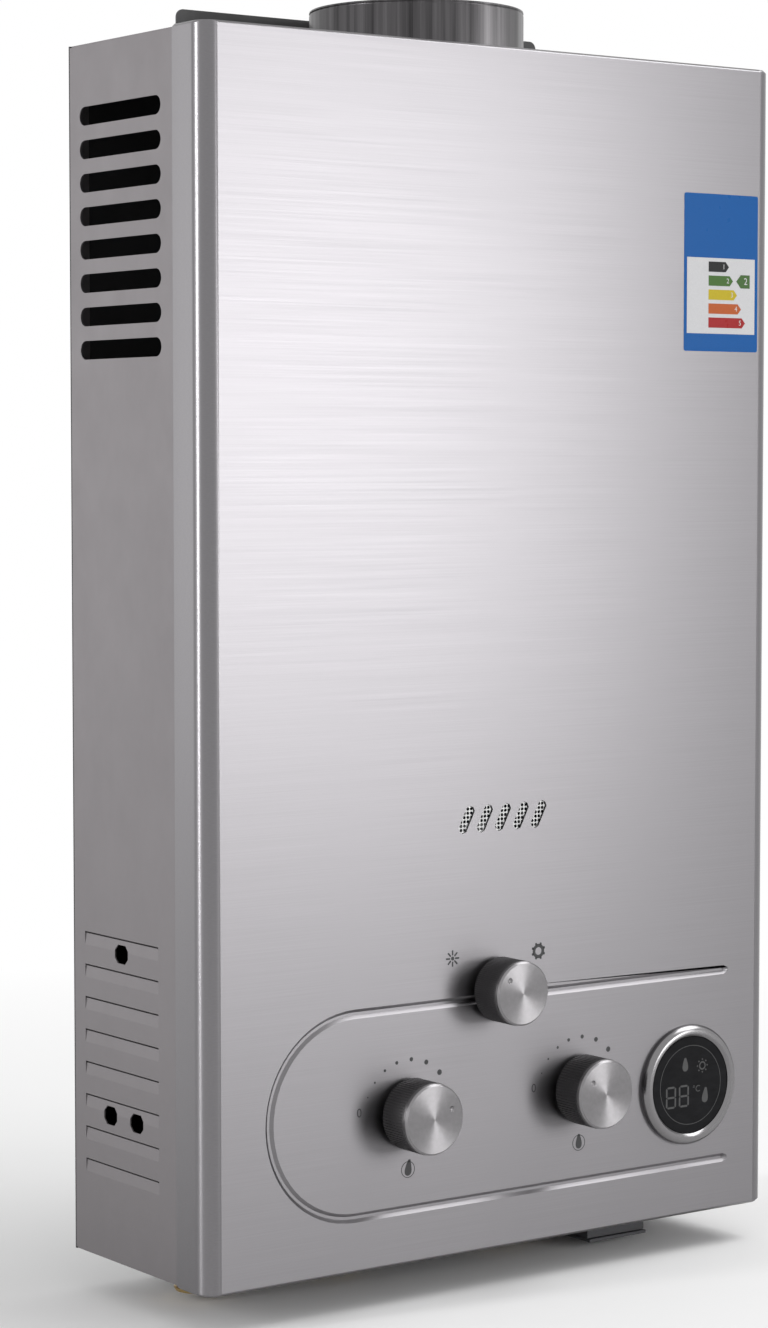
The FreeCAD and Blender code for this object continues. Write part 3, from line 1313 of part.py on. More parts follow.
def make_battery_box():
    """Open-bottomed box in the bottom plate, with two ears for the door's pin."""
    left = "(box_x - box_width / 2)"
    front = f"-(box_back + {BOX_DEPTH})"
    low = minus(BOX_BOTTOM)
    outer = box("box_outer", left, front, low, "box_width", BOX_DEPTH, BOX_HEIGHT)
    rim = box("box_rim", f"{left} - 4", f"{front} - 4", minus(FLOOR_TOP), "box_width + 8",
              f"{BOX_DEPTH} + 8", "box_wall")
    inner = box("box_inner", f"{left} + box_wall", f"{front} + box_wall", f"{low} - 1",
                "box_width - 2 * box_wall", f"{BOX_DEPTH} - 2 * box_wall", f"{BOX_HEIGHT} + 1 - box_wall")
    ears = []
    for word, x in (("left", left), ("right", f"{left} + box_width - ear_width")):
        ears.append(box(f"ear_{word}", x, "-box_back", low, "ear_width",
                        f"box_back - {HINGE_Y} + hinge_radius", "3 * hinge_radius"))
        ears.append(prism(f"ear_end_{word}", "x", x, minus(HINGE_Y), minus(HINGE_DROP),
                          "ear_radius", "ear_width", 8))
    hole = cylinder("ear_hole", "x", f"{left} - 1", minus(HINGE_Y), minus(HINGE_DROP),
                    "pin_radius + brazed_gap", "box_width + 2")
    return keep(cut("box_cut", fuse("box_solid", [outer, rim] + ears), [inner, hole]), "battery_box")


def make_battery_door():
    """Door under the battery box that swings down about its back edge."""
    left = "(box_x - box_width / 2)"
    plate = box("door_plate", left, f"-(box_back + {BOX_DEPTH} + 2)", minus(DOOR_BOTTOM), "box_width",
                f"{BOX_DEPTH} + 2 - loose_gap", "door_wall")
    inside = f"{left} + ear_width + loose_gap"
    width = "box_width - 2 * (ear_width + loose_gap)"
    tongue = box("door_tongue", inside, "-(box_back + 1)", minus(DOOR_BOTTOM), width,
                 f"box_back + 1 - {HINGE_Y}", "door_wall")
    knuckle = cylinder("door_knuckle", "x", inside, minus(HINGE_Y), minus(HINGE_DROP), "hinge_radius", width)
    hole = cylinder("door_hole", "x", f"{inside} - 1", minus(HINGE_Y), minus(HINGE_DROP),
                    "pin_radius + brazed_gap", f"{width} + 2")
    return keep(cut("door_cut", fuse("door_solid", [plate, tongue, knuckle]), [hole]), "battery_door")


def make_door_pin():
    """Hinge pin of the battery door."""
    pin = cylinder("hinge_pin", "x", "box_x - box_width / 2", minus(HINGE_Y), minus(HINGE_DROP),
                   "pin_radius", "box_width")
    return keep(pin, "battery_door_pin")


def make_door_contact():
    """Contact strip on the door that joins the two cells."""
    strip = box("contact_strip", "box_x - 6", "-(box_back + box_wall + cell_radius * 3.5)",
                f"-1 * {BOX_BOTTOM} - loose_gap", "12", "cell_radius * 3.2", "0.5")
    return keep(strip, "battery_door_contact")


CELL_LOW = f"(cell_gap - {BOX_BOTTOM})"


def cell_places():
    """The two cells' axes, from the wall."""
    inset = "(box_wall + cell_radius + 1)"
    return (("back", f"-(box_back + {inset})"), ("front", f"-(box_back + {BOX_DEPTH} - {inset})"))


def make_batteries():
    """Two upright cells, drawn with twelve sides."""
    cells = []
    for word, y in cell_places():
        cells.append(prism(f"cell_{word}", "z", "box_x", y, CELL_LOW, "cell_radius", "cell_height", 12))
    return keep(group("cell_group", cells), "batteries")


def make_battery_contacts():
    """Two contact plates under the top of the box, each with a foot over its cell."""
    contacts = []
    ceiling = f"({BOX_HEIGHT} - {BOX_BOTTOM} - box_wall)"
    for word, y in cell_places():
        plate = box(f"contact_{word}_plate", "box_x - 6", f"{y} - 6", f"{ceiling} - 1", "12", "12", "1")
        low = f"({CELL_LOW} + cell_height + loose_gap)"
        foot = box(f"contact_{word}_foot", "box_x - 2", f"{y} - 2", low, "4", "4", f"{ceiling} - {low}")
        contacts.append(fuse(f"contact_{word}", [plate, foot]))
    return keep(group("contact_group", contacts), "battery_contacts")


# Display

def round_piece(label, corners):
    """Turned piece of the display, about the display's axis, from the cover's face."""
    body = new_body(f"{label}_body")
    section = new_sketch(body, f"{label}_section", "XY_Plane")
    draw_outline(section, corners)
    revolve(body, section)
    put(body, "display_x", "-case_depth", "-display_drop")
    return body


def make_display():
    """Bezel, glass, housing and board of the round display."""
    rim = "lens_radius + brazed_gap"
    keep(round_piece("display_bezel", [
        (rim, "-bezel_height"), ("bezel_radius - bezel_chamfer", "-bezel_height"),
        ("bezel_radius", "bezel_chamfer - bezel_height"), ("bezel_radius", "0"), (rim, "0"),
    ]), "display_bezel")
    keep(round_piece("display_lens", [
        ("0", "-1 - lens_thickness"), ("lens_radius", "-1 - lens_thickness"),
        ("lens_radius", "-1"), ("0", "-1"),
    ]), "display_lens")
    half = "(bezel_radius - 2)"
    back = "(display_back - case_depth)"
    deep = "(display_back - cover_wall)"
    cup = box("housing_cup", f"display_x - {half}", minus(COVER_INSIDE), f"-display_drop - {half}",
              f"2 * {half}", deep, f"2 * {half}")
    inner = "(lens_radius + brazed_gap)"
    hollow = box("housing_hollow", f"display_x - {inner}", f"-1 * {COVER_INSIDE} - 1",
                 f"-display_drop - {inner}", f"2 * {inner}", f"{deep} - 0.5", f"2 * {inner}")
    keep(cut("housing", cup, [hollow]), "display_housing")
    floor = f"({back} - 1.5)"
    board = box("board_plate", "display_x - 20", f"{floor} - 1.6", "-display_drop - 17", "40", "1.6", "34")
    digits = box("board_digits", "display_x - 15", "-case_depth - 1", "-display_drop - 11",
                 "30", f"{floor} + case_depth", "22")
    keep(fuse("board", [board, digits]), "display_board")


# Knobs and spindles

def make_knob(label, x, drop, radius):
    """Knob with flats for the fingers and a blind bore for its spindle."""
    front = "(case_depth + knob_front - knob_cap)"
    back = "(case_depth + knob_stand)"
    grip = prism(f"{label}_grip", "y", x, minus(front), f"-{drop}", radius, f"{front} - {back}",
                 round(worth("grip_count")))
    bore = cylinder(f"{label}_bore", "y", x, f"2.5 - {front}", f"-{drop}", "spindle_radius + brazed_gap",
                    "knob_front")
    return keep(cut(f"{label}_cut", grip, [bore]), label)


def make_knob_cap(label, x, drop, radius, rest):
    """Round metal cap with a dimple for its pointer."""
    body = new_body(f"{label}_body")
    face = new_sketch(body, f"{label}_face", "XZ_Plane", "knob_front - knob_cap")
    draw_circle(face, "0", "0", f"{radius} - cap_setback")
    pad(body, face, "knob_cap")
    dimple = new_sketch(body, f"{label}_dimple", "XZ_Plane", "knob_front")
    draw_slot(dimple, (f"dimple_place * cos({rest} * 1deg)", f"dimple_place * sin({rest} * 1deg)"),
              ("1", "0"), "dimple_radius", "dimple_radius")
    body.Tip = pocket(body, dimple, "1")
    put(body, x, "-case_depth", f"-{drop}")
    return keep(body, label)


def make_spindle(label, x, drop):
    """Spindle with a flat for the knob."""
    tip = "(case_depth + knob_front - knob_cap - 2.5 - loose_gap)"
    shaft = cylinder(f"{label}_shaft", "y", x, minus(tip), f"-{drop}", "spindle_radius",
                     f"{tip} - {VALVE_FRONT} + spindle_depth")
    flat = box(f"{label}_flat", f"{x} - spindle_radius", f"-1 * {tip} - 1",
               f"spindle_radius - spindle_flat - {drop}", "2 * spindle_radius", "12", "spindle_flat + 1")
    return keep(cut(f"{label}_cut", shaft, [flat]), label)


# The whole heater

def make_heater():
    """Every piece, from the wall forwards."""
    make_back_plate()
    left = make_side_panel()
    make_right_side_panel(left)
    make_end_plate("top_plate", 1)
    make_end_plate("bottom_plate", -1)
    make_front_cover()
    make_cover_screws()
    make_window_screen()
    make_draught_hood()
    make_flue_collar()
    make_combustion_chamber()
    make_chamber_brackets()
    make_heat_exchanger()
    make_exchanger_tubes()
    make_hot_water_pipe()
    make_cold_water_pipe()
    make_over_temperature_switch()
    make_burner_frame()
    make_burner_bars()
    make_gas_manifold()
    make_gas_nozzles()
    make_electrode_bracket()
    make_electrodes()
    make_ignition_module()
    make_leads()
    make_gas_valve()
    make_gas_solenoid()
    make_season_valve()
    make_gas_pipe()
    make_water_valve()
    make_water_valve_cover()
    make_diaphragm()
    make_water_valve_screws()
    make_push_rod()
    make_microswitch()
    make_microswitch_lever()
    make_connection("cold_inlet", "water_knob_x", VALVE_BOTTOM)
    make_connection("gas_inlet", "-gas_knob_x", VALVE_BOTTOM)
    make_connection("hot_outlet", "-hot_x", f"({FLOOR_TOP} - outlet_height)")
    make_inlet_filter()
    make_drain_plug()
    make_battery_box()
    make_battery_door()
    make_door_pin()
    make_door_contact()
    make_batteries()
    make_battery_contacts()
    make_display()
    for name, x, drop, radius in (
        ("gas", "-gas_knob_x", "knob_drop", "knob_radius"),
        ("water", "water_knob_x", "knob_drop", "knob_radius"),
        ("season", "-season_knob_x", "season_knob_drop", "season_knob_radius"),
    ):
        make_knob(f"{name}_knob", x, drop, radius)
        make_knob_cap(f"{name}_knob_cap", x, drop, radius, f"{name}_rest")
        make_spindle(f"{name}_spindle", x, drop)


def check_and_write():
    """Refuse a failed object, then write each piece to its own file."""
    doc.recompute()
    for item in doc.Objects:
        if "Invalid" in item.State or "Error" in item.State:
            raise ValueError(f"{item.Name} failed: {item.State}")
    os.makedirs("parts", exist_ok=True)
    for piece in pieces:
        shape = piece.Shape
        if shape.isNull() or not shape.isValid() or not shape.Solids:
            raise ValueError(f"{piece.Label} has no valid solid")
        shape.exportStep(f"parts/{piece.Label}.step")


make_heater()
check_and_write()
print(f"{len(pieces)} pieces written")
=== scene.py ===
import json
import math

import bmesh
import bpy
from bpy.props import FloatProperty, FloatVectorProperty, IntProperty, PointerProperty
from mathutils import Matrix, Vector


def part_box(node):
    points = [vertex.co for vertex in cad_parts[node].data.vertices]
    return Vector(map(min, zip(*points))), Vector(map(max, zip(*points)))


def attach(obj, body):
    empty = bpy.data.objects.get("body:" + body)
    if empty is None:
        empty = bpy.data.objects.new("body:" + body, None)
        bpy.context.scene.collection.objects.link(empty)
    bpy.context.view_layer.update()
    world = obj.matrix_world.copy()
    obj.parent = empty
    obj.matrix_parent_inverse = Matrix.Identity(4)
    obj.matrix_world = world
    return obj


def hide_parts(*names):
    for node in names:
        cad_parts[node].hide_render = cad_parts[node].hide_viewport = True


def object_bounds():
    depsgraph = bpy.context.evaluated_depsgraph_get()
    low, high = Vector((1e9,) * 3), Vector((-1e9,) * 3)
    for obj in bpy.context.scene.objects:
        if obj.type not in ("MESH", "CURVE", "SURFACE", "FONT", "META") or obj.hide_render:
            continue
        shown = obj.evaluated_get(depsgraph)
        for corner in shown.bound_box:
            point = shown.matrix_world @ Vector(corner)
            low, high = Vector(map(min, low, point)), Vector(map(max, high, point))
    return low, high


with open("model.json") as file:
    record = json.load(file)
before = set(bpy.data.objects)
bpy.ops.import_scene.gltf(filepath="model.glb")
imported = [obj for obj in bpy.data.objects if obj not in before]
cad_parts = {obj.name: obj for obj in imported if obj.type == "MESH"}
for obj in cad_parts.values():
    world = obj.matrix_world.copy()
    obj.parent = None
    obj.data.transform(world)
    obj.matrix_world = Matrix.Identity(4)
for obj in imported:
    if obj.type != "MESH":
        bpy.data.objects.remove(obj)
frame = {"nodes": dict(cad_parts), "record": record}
CAD_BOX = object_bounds()

bl_info = {
    "name": "Wall-hung gas water heater",
    "version": (1, 0, 0),
    "blender": (4, 5, 0),
    "location": "3D View > Sidebar > Heater",
    "description": "Dresses the heater's frame with its sheets, dials, display, prints and finishes",
    "category": "Object",
}

NODES = frame["nodes"]
COVER_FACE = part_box("front_cover")[0].y
NEAR = 1e-4
TOUCHING = 1e-6


# Sizes and colours that a user would change

class HeaterSizes(bpy.types.PropertyGroup):
    """Sizes of what the frame leaves plain."""
    knurl_count: IntProperty(name="Knurl count", description="Ridges round a large dial", default=76)
    knurl_depth: FloatProperty(name="Knurl depth", description="Depth of the dial's ridges", default=0.00032,
                               unit="LENGTH", precision=5)
    cap_chamfer: FloatProperty(name="Cap chamfer", description="Polished chamfer round a dial's cap",
                               default=0.0009, unit="LENGTH", precision=5)
    dimple: FloatProperty(name="Dimple", description="Radius of the pointer dimple", default=0.0013,
                          unit="LENGTH", precision=5)
    dimple_place: FloatProperty(name="Dimple place", description="Pointer dimple from the dial's axis",
                                default=0.011, unit="LENGTH", precision=5)
    dot_ring: FloatProperty(name="Dot ring", description="Radius of the row of dots round a dial",
                            default=0.026, unit="LENGTH", precision=5)
    first_dot: FloatProperty(name="First dot", description="Radius of the smallest dot", default=0.0004,
                             unit="LENGTH", precision=5)
    last_dot: FloatProperty(name="Last dot", description="Radius of the largest dot", default=0.0014,
                            unit="LENGTH", precision=5)
    print_height: FloatProperty(name="Print height", description="Thickness of the printed ink",
                                default=0.00004, unit="LENGTH", precision=6)
    mesh_pitch: FloatProperty(name="Mesh pitch", description="Spacing of the holes behind the window",
                              default=0.0021, unit="LENGTH", precision=5)
    thread_pitch: FloatProperty(name="Thread pitch", description="Pitch of the half-inch pipe threads",
                                default=0.001814, unit="LENGTH", precision=6)


class HeaterColours(bpy.types.PropertyGroup):
    """Colours of the finishes."""
    cover: FloatVectorProperty(name="Cover", description="Brushed steel of the front cover", subtype="COLOR",
                               default=(0.195, 0.189, 0.197))
    casing: FloatVectorProperty(name="Casing", description="Grey sheet of the side panels", subtype="COLOR",
                                default=(0.185, 0.174, 0.180))
    flue: FloatVectorProperty(name="Flue collar", description="Steel of the flue collar", subtype="COLOR",
                              default=(0.080, 0.077, 0.080))
    grip: FloatVectorProperty(name="Dial side", description="Dark side of the dials", subtype="COLOR",
                              default=(0.036, 0.034, 0.036))
    cap: FloatVectorProperty(name="Dial cap", description="Spun metal of the dial caps", subtype="COLOR",
                             default=(0.25, 0.243, 0.25))
    ink: FloatVectorProperty(name="Ink", description="Print on the cover", subtype="COLOR",
                             default=(0.018, 0.018, 0.02))
    sticker: FloatVectorProperty(name="Sticker", description="Blue of the rating sticker", subtype="COLOR",
                                 default=(0.001, 0.075, 0.27))
    floor: FloatVectorProperty(name="Floor", description="Pale floor of the studio", subtype="COLOR",
                               default=(0.88, 0.88, 0.88))


def sizes():
    """The sizes that the scene holds."""
    return bpy.context.scene.heater_sizes


def colours():
    """The colours that the scene holds."""
    return bpy.context.scene.heater_colours


# Modelling

def centre_of(node):
    """Middle of a node's box."""
    low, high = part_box(node)
    return (low + high) / 2


def alone(piece):
    """Makes one piece the only selected one."""
    bpy.ops.object.select_all(action="DESELECT")
    piece.select_set(True)
    bpy.context.view_layer.objects.active = piece


def started(name):
    """Names the piece that was just added."""
    piece = bpy.context.object
    piece.name = name
    piece.data.name = name
    alone(piece)
    return piece


def added(name, primitive, place=(0, 0, 0), **values):
    """Adds a primitive with nothing else selected."""
    bpy.ops.object.select_all(action="DESELECT")
    primitive(location=place, **values)
    return started(name)


def settle(piece, place=(0, 0, 0), turns=(0, 0, 0), scale=(1, 1, 1)):
    """Moves, turns and resizes a piece and leaves that in its mesh."""
    alone(piece)
    piece.location = place
    piece.rotation_euler = turns
    piece.scale = scale
    bpy.ops.object.transform_apply(location=True, rotation=True, scale=True)
    return piece


def opened(piece):
    """Opens a piece for editing with all of it selected."""
    alone(piece)
    bpy.ops.object.mode_set(mode="EDIT")
    bpy.ops.mesh.select_all(action="SELECT")


def pick(piece, kind, test):
    """Opens a piece for editing with only the faces, edges or corners selected that pass a test."""
    alone(piece)
    bpy.ops.object.mode_set(mode="EDIT")
    bpy.ops.mesh.select_mode(type=kind)
    bpy.ops.mesh.select_all(action="DESELECT")
    mesh = bmesh.from_edit_mesh(piece.data)
    for item in {"FACE": mesh.faces, "EDGE": mesh.edges, "VERT": mesh.verts}[kind]:
        if test(item):
            item.select_set(True)
    bmesh.update_edit_mesh(piece.data)


def edit(piece, kind, test, operator, **values):
    """Runs one edit on the faces, edges or corners of a piece that pass a test."""
    pick(piece, kind, test)
    operator(**values)
    bpy.ops.object.mode_set(mode="OBJECT")


def close():
    """Ends an edit with the faces pointing outwards."""
    bpy.ops.mesh.select_all(action="SELECT")
    bpy.ops.mesh.normals_make_consistent(inside=False)
    bpy.ops.object.mode_set(mode="OBJECT")


def middle(edge):
    """Middle of an edge."""
    return (edge.verts[0].co + edge.verts[1].co) / 2


def reach_along(edge, axis):
    """How far an edge reaches along an axis."""
    return abs(edge.verts[0].co[axis] - edge.verts[1].co[axis])


def through_sheet(edge, axis):
    """Whether an edge runs along one axis only."""
    run = edge.verts[0].co - edge.verts[1].co
    return abs(run[axis]) > NEAR and run.length - abs(run[axis]) < 1e-7


def turned(name, outline, rounds, closed=False):
    """Round piece about the z axis: a ring of corners drawn out from one radius and height to the next."""
    piece = added(name, bpy.ops.mesh.primitive_circle_add, vertices=rounds, radius=outline[0][0])
    opened(piece)
    bpy.ops.transform.translate(value=(0, 0, outline[0][1]))
    if not closed:
        bpy.ops.mesh.edge_face_add()
    path = outline + outline[:1] if closed else outline
    for (radius, height), (next_radius, next_height) in zip(path, path[1:]):
        bpy.ops.mesh.extrude_edges_move(TRANSFORM_OT_translate={"value": (0, 0, next_height - height)})
        factor = next_radius / radius
        bpy.ops.transform.resize(value=(factor, factor, 1), center_override=(0, 0, 0))
    if closed:
        bpy.ops.mesh.select_all(action="SELECT")
        bpy.ops.mesh.remove_doubles(threshold=1e-7)
    else:
        bpy.ops.mesh.edge_face_add()
    close()
    return piece


def modify(piece, kind, **values):
    """Applies a modifier with some of its values set."""
    alone(piece)
    modifier = piece.modifiers.new(kind, kind)
    for key, value in values.items():
        setattr(modifier, key, value)
    bpy.ops.object.modifier_apply(modifier=modifier.name)


def soften(piece, width):
    """Rounds a piece's sharp edges."""
    modify(piece, "BEVEL", width=width, segments=2, limit_method="ANGLE", angle_limit=math.radians(30))


def cut(piece, cutter):
    """Cuts one piece out of another and takes the cutter away."""
    modify(piece, "BOOLEAN", operation="DIFFERENCE", object=cutter)
    bpy.data.objects.remove(cutter)


def stand(piece, place, facing="FRONT"):
    """Puts a piece in place with its z axis towards the front, up or down."""
    tilt = {"FRONT": math.radians(90), "UP": 0, "DOWN": math.radians(180)}[facing]
    return settle(piece, place, (tilt, 0, 0))


def shade(piece, angle):
    """Smooth shading up to an angle between faces."""
    alone(piece)
    bpy.ops.object.shade_smooth_by_angle(angle=math.radians(angle))


def even_normals(piece):
    """Lets the large faces rule a piece's smooth shading, so flat faces look flat."""
    modify(piece, "WEIGHTED_NORMAL", keep_sharp=True)


def joined(name, parts):
    """One piece of several."""
    bpy.ops.object.select_all(action="DESELECT")
    for part in parts:
        part.select_set(True)
    bpy.context.view_layer.objects.active = parts[0]
    bpy.ops.object.join()
    return started(name)


def copy_of(piece, name):
    """Copy of a piece with a mesh of its own."""
    alone(piece)
    bpy.ops.object.duplicate(linked=False)
    return started(name)


def laid_out(name, first, places):
    """A piece and its copies, each moved and turned about its z axis to its place, as one piece."""
    marks = [first] + [copy_of(first, f"{name}_{number}") for number in range(1, len(places))]
    for mark, (x, y, turn) in zip(marks, places):
        settle(mark, (x, y, 0), (0, 0, turn))
    return joined(name, marks)


def finished(piece, finish, body, slot, *nodes):
    """Gives a piece its finish and its body, and hides the nodes that it stands for; the slot is not used."""
    piece.data.materials.clear()
    piece.data.materials.append(finish)
    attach(piece, body)
    if nodes:
        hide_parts(*nodes)
    return piece


def dressed(piece, angle, body, slot, *nodes):
    """Shades a piece smooth up to an angle and gives it the finish of its slot."""
    shade(piece, angle)
    return finished(piece, FINISHES[slot], body, slot, *nodes)


def sheet_of(node, name, whole=True):
    """Copy of a sheet of the frame, with its flat faces whole again or left in triangles."""
    piece = bpy.data.objects.new(name, NODES[node].data.copy())
    bpy.context.scene.collection.objects.link(piece)
    opened(piece)
    bpy.ops.mesh.remove_doubles(threshold=2e-6)
    if whole:
        bpy.ops.mesh.dissolve_limited(angle_limit=math.radians(0.2))
    bpy.ops.object.mode_set(mode="OBJECT")
    return piece


def smooth_sheet(piece, slot, node, angle=30):
    """Shades a sheet's bends smooth, keeps its flat faces flat and finishes it."""
    shade(piece, angle)
    even_normals(piece)
    return finished(piece, FINISHES[slot], "heater", slot, node)


# Finishes

def new_finish(name, colour, metal, roughness):
    """Material with one shader of a colour, metalness and roughness."""
    finish = bpy.data.materials.new(name)
    finish.use_nodes = True
    shader = shader_of(finish)
    shader.inputs["Base Color"].default_value = (*colour, 1)
    shader.inputs["Metallic"].default_value = metal
    shader.inputs["Roughness"].default_value = roughness
    return finish


def shader_of(finish):
    """The shader of a finish."""
    return finish.node_tree.nodes["Principled BSDF"]


def node_in(owner, kind, **values):
    """Adds a node to a finish or a world and sets its inputs."""
    node = owner.node_tree.nodes.new(kind)
    for key, value in values.items():
        node.inputs[key].default_value = value
    return node


def wire(owner, start, end):
    """Joins two sockets."""
    owner.node_tree.links.new(start, end)


def grain(finish, fineness, detail=3.0, roughness=0.6):
    """Noise on the object's own coordinates, so many grains a metre along each axis or along all three."""
    stretch = fineness if isinstance(fineness, tuple) else (fineness, fineness, fineness)
    place = node_in(finish, "ShaderNodeTexCoord")
    mapping = node_in(finish, "ShaderNodeMapping", Scale=stretch)
    noise = node_in(finish, "ShaderNodeTexNoise", Scale=1.0, Detail=detail, Roughness=roughness)
    wire(finish, place.outputs["Object"], mapping.inputs["Vector"])
    wire(finish, mapping.outputs["Vector"], noise.inputs["Vector"])
    return noise.outputs["Fac"]


def spread(finish, value, low, high, start=0.3, end=0.7):
    """Spreads a noise between two values."""
    span = node_in(finish, "ShaderNodeMapRange",
                   **{"From Min": start, "From Max": end, "To Min": low, "To Max": high})
    wire(finish, value, span.inputs["Value"])
    return span.outputs["Result"]


def tint(finish, value, dark, light):
    """Mixes the base colour between two colours by a noise."""
    mix = node_in(finish, "ShaderNodeMix")
    mix.data_type = "RGBA"
    ends = [socket for socket in mix.inputs if socket.type == "RGBA"]
    ends[0].default_value = (*dark, 1)
    ends[1].default_value = (*light, 1)
    wire(finish, spread(finish, value, 0.0, 1.0), mix.inputs["Factor"])
    result = [socket for socket in mix.outputs if socket.type == "RGBA"][0]
    wire(finish, result, shader_of(finish).inputs["Base Color"])


def rough(finish, value, low, high):
    """Varies the roughness between two values by a noise."""
    wire(finish, spread(finish, value, low, high), shader_of(finish).inputs["Roughness"])


def relief(finish, value, depth, strength=1.0):
    """Raises the surface by a noise, in metres."""
    bump = node_in(finish, "ShaderNodeBump", Strength=strength, Distance=depth)
    wire(finish, value, bump.inputs["Height"])
    wire(finish, bump.outputs["Normal"], shader_of(finish).inputs["Normal"])


def times(colour, factor):
    """A colour made lighter or darker."""
    return tuple(channel * factor for channel in colour)


def soft_gloss(finish, level):
    """Lowers the gloss of a finish that isn't metal."""
    shader_of(finish).inputs["Specular IOR Level"].default_value = level


def stretch_highlights(finish, amount, axis="Z"):
    """Stretches the highlights across fine lines that run round an axis."""
    shader = shader_of(finish)
    shader.inputs["Anisotropic"].default_value = amount
    shader.inputs["Anisotropic Rotation"].default_value = 0.25
    tangent = node_in(finish, "ShaderNodeTangent")
    tangent.direction_type = "RADIAL"
    tangent.axis = axis
    wire(finish, tangent.outputs["Tangent"], shader.inputs["Tangent"])


def brushed(name, colour, lines, smooth=0.30, dull=0.42, depth=0.000012, change=0.10):
    """Steel brushed along the axis with the fewest lines, with faint smudges, and painted reflection streaks
    when the change is large.
    """
    finish = new_finish(name, colour, 1.0, smooth)
    hairlines_and_sheen = grain(finish, lines, detail=4.0)
    # Painted reflection when the change is large: light and dark streaks along the lines stand in for
    # mirrored surroundings
    tint(finish, hairlines_and_sheen, times(colour, 1 - change), times(colour, 1 + change))
    rough(finish, grain(finish, times(lines, 0.6), detail=2.0), smooth, dull)
    relief(finish, hairlines_and_sheen, depth)
    return finish


def painted(name, colour, metal, smooth, dull, peel=900.0, depth=0.00001):
    """Painted or zinc-coated sheet with a fine orange peel and slow changes of tone."""
    finish = new_finish(name, colour, metal, smooth)
    slow = grain(finish, (14.0, 14.0, 9.0), detail=5.0)
    tint(finish, slow, times(colour, 0.97), times(colour, 1.03))
    rough(finish, grain(finish, (60.0, 60.0, 40.0)), smooth, dull)
    relief(finish, grain(finish, peel), depth)
    return finish


def moulded(name, colour, smooth=0.45, dull=0.6, texture=2600.0, depth=0.00003):
    """Moulded plastic or rubber with a spark-eroded grain."""
    finish = new_finish(name, colour, 0.0, smooth)
    fine = grain(finish, texture, detail=1.0)
    tint(finish, grain(finish, 40.0), times(colour, 0.85), times(colour, 1.15))
    rough(finish, fine, smooth, dull)
    relief(finish, fine, depth)
    return finish


def cast_metal(name, colour, smooth=0.35, dull=0.6, texture=900.0, depth=0.00006):
    """Cast metal with a sandy skin and darker hollows."""
    finish = new_finish(name, colour, 1.0, smooth)
    sand = grain(finish, texture, detail=4.0)
    tint(finish, grain(finish, 90.0, detail=5.0), times(colour, 0.7), times(colour, 1.1))
    rough(finish, sand, smooth, dull)
    relief(finish, sand, depth)
    return finish


def spun_metal(name, colour):
    """Metal spun on a lathe: fine rings about the dial's axis that stretch the highlights into wedges."""
    finish = new_finish(name, colour, 1.0, 0.36)
    stretch_highlights(finish, 0.9, "Y")
    spots = grain(finish, 400.0)
    tint(finish, spots, times(colour, 0.94), times(colour, 1.05))
    return finish


def glass(name, colour):
    """Dark glass with a polished face and faint wipe marks."""
    finish = new_finish(name, colour, 0.0, 0.05)
    soft_gloss(finish, 0.06)
    wipes = grain(finish, (90.0, 90.0, 240.0))
    tint(finish, wipes, times(colour, 0.8), times(colour, 1.3))
    rough(finish, wipes, 0.04, 0.10)
    return finish


def ink(name, colour, smooth=0.5):
    """Flat printing ink with a slightly uneven cover."""
    finish = new_finish(name, colour, 0.0, smooth)
    spots = grain(finish, 2200.0, detail=2.0)
    tint(finish, spots, times(colour, 0.85), times(colour, 1.2))
    rough(finish, spots, smooth - 0.08, smooth + 0.1)
    return finish


def coated_paper(name, colour):
    """Smooth coated film of a sticker with a faint print screen."""
    finish = new_finish(name, colour, 0.0, 0.32)
    soft_gloss(finish, 0.12)
    dots = grain(finish, 3000.0, detail=1.0)
    tint(finish, dots, times(colour, 0.94), times(colour, 1.05))
    rough(finish, grain(finish, 150.0), 0.26, 0.38)
    return finish


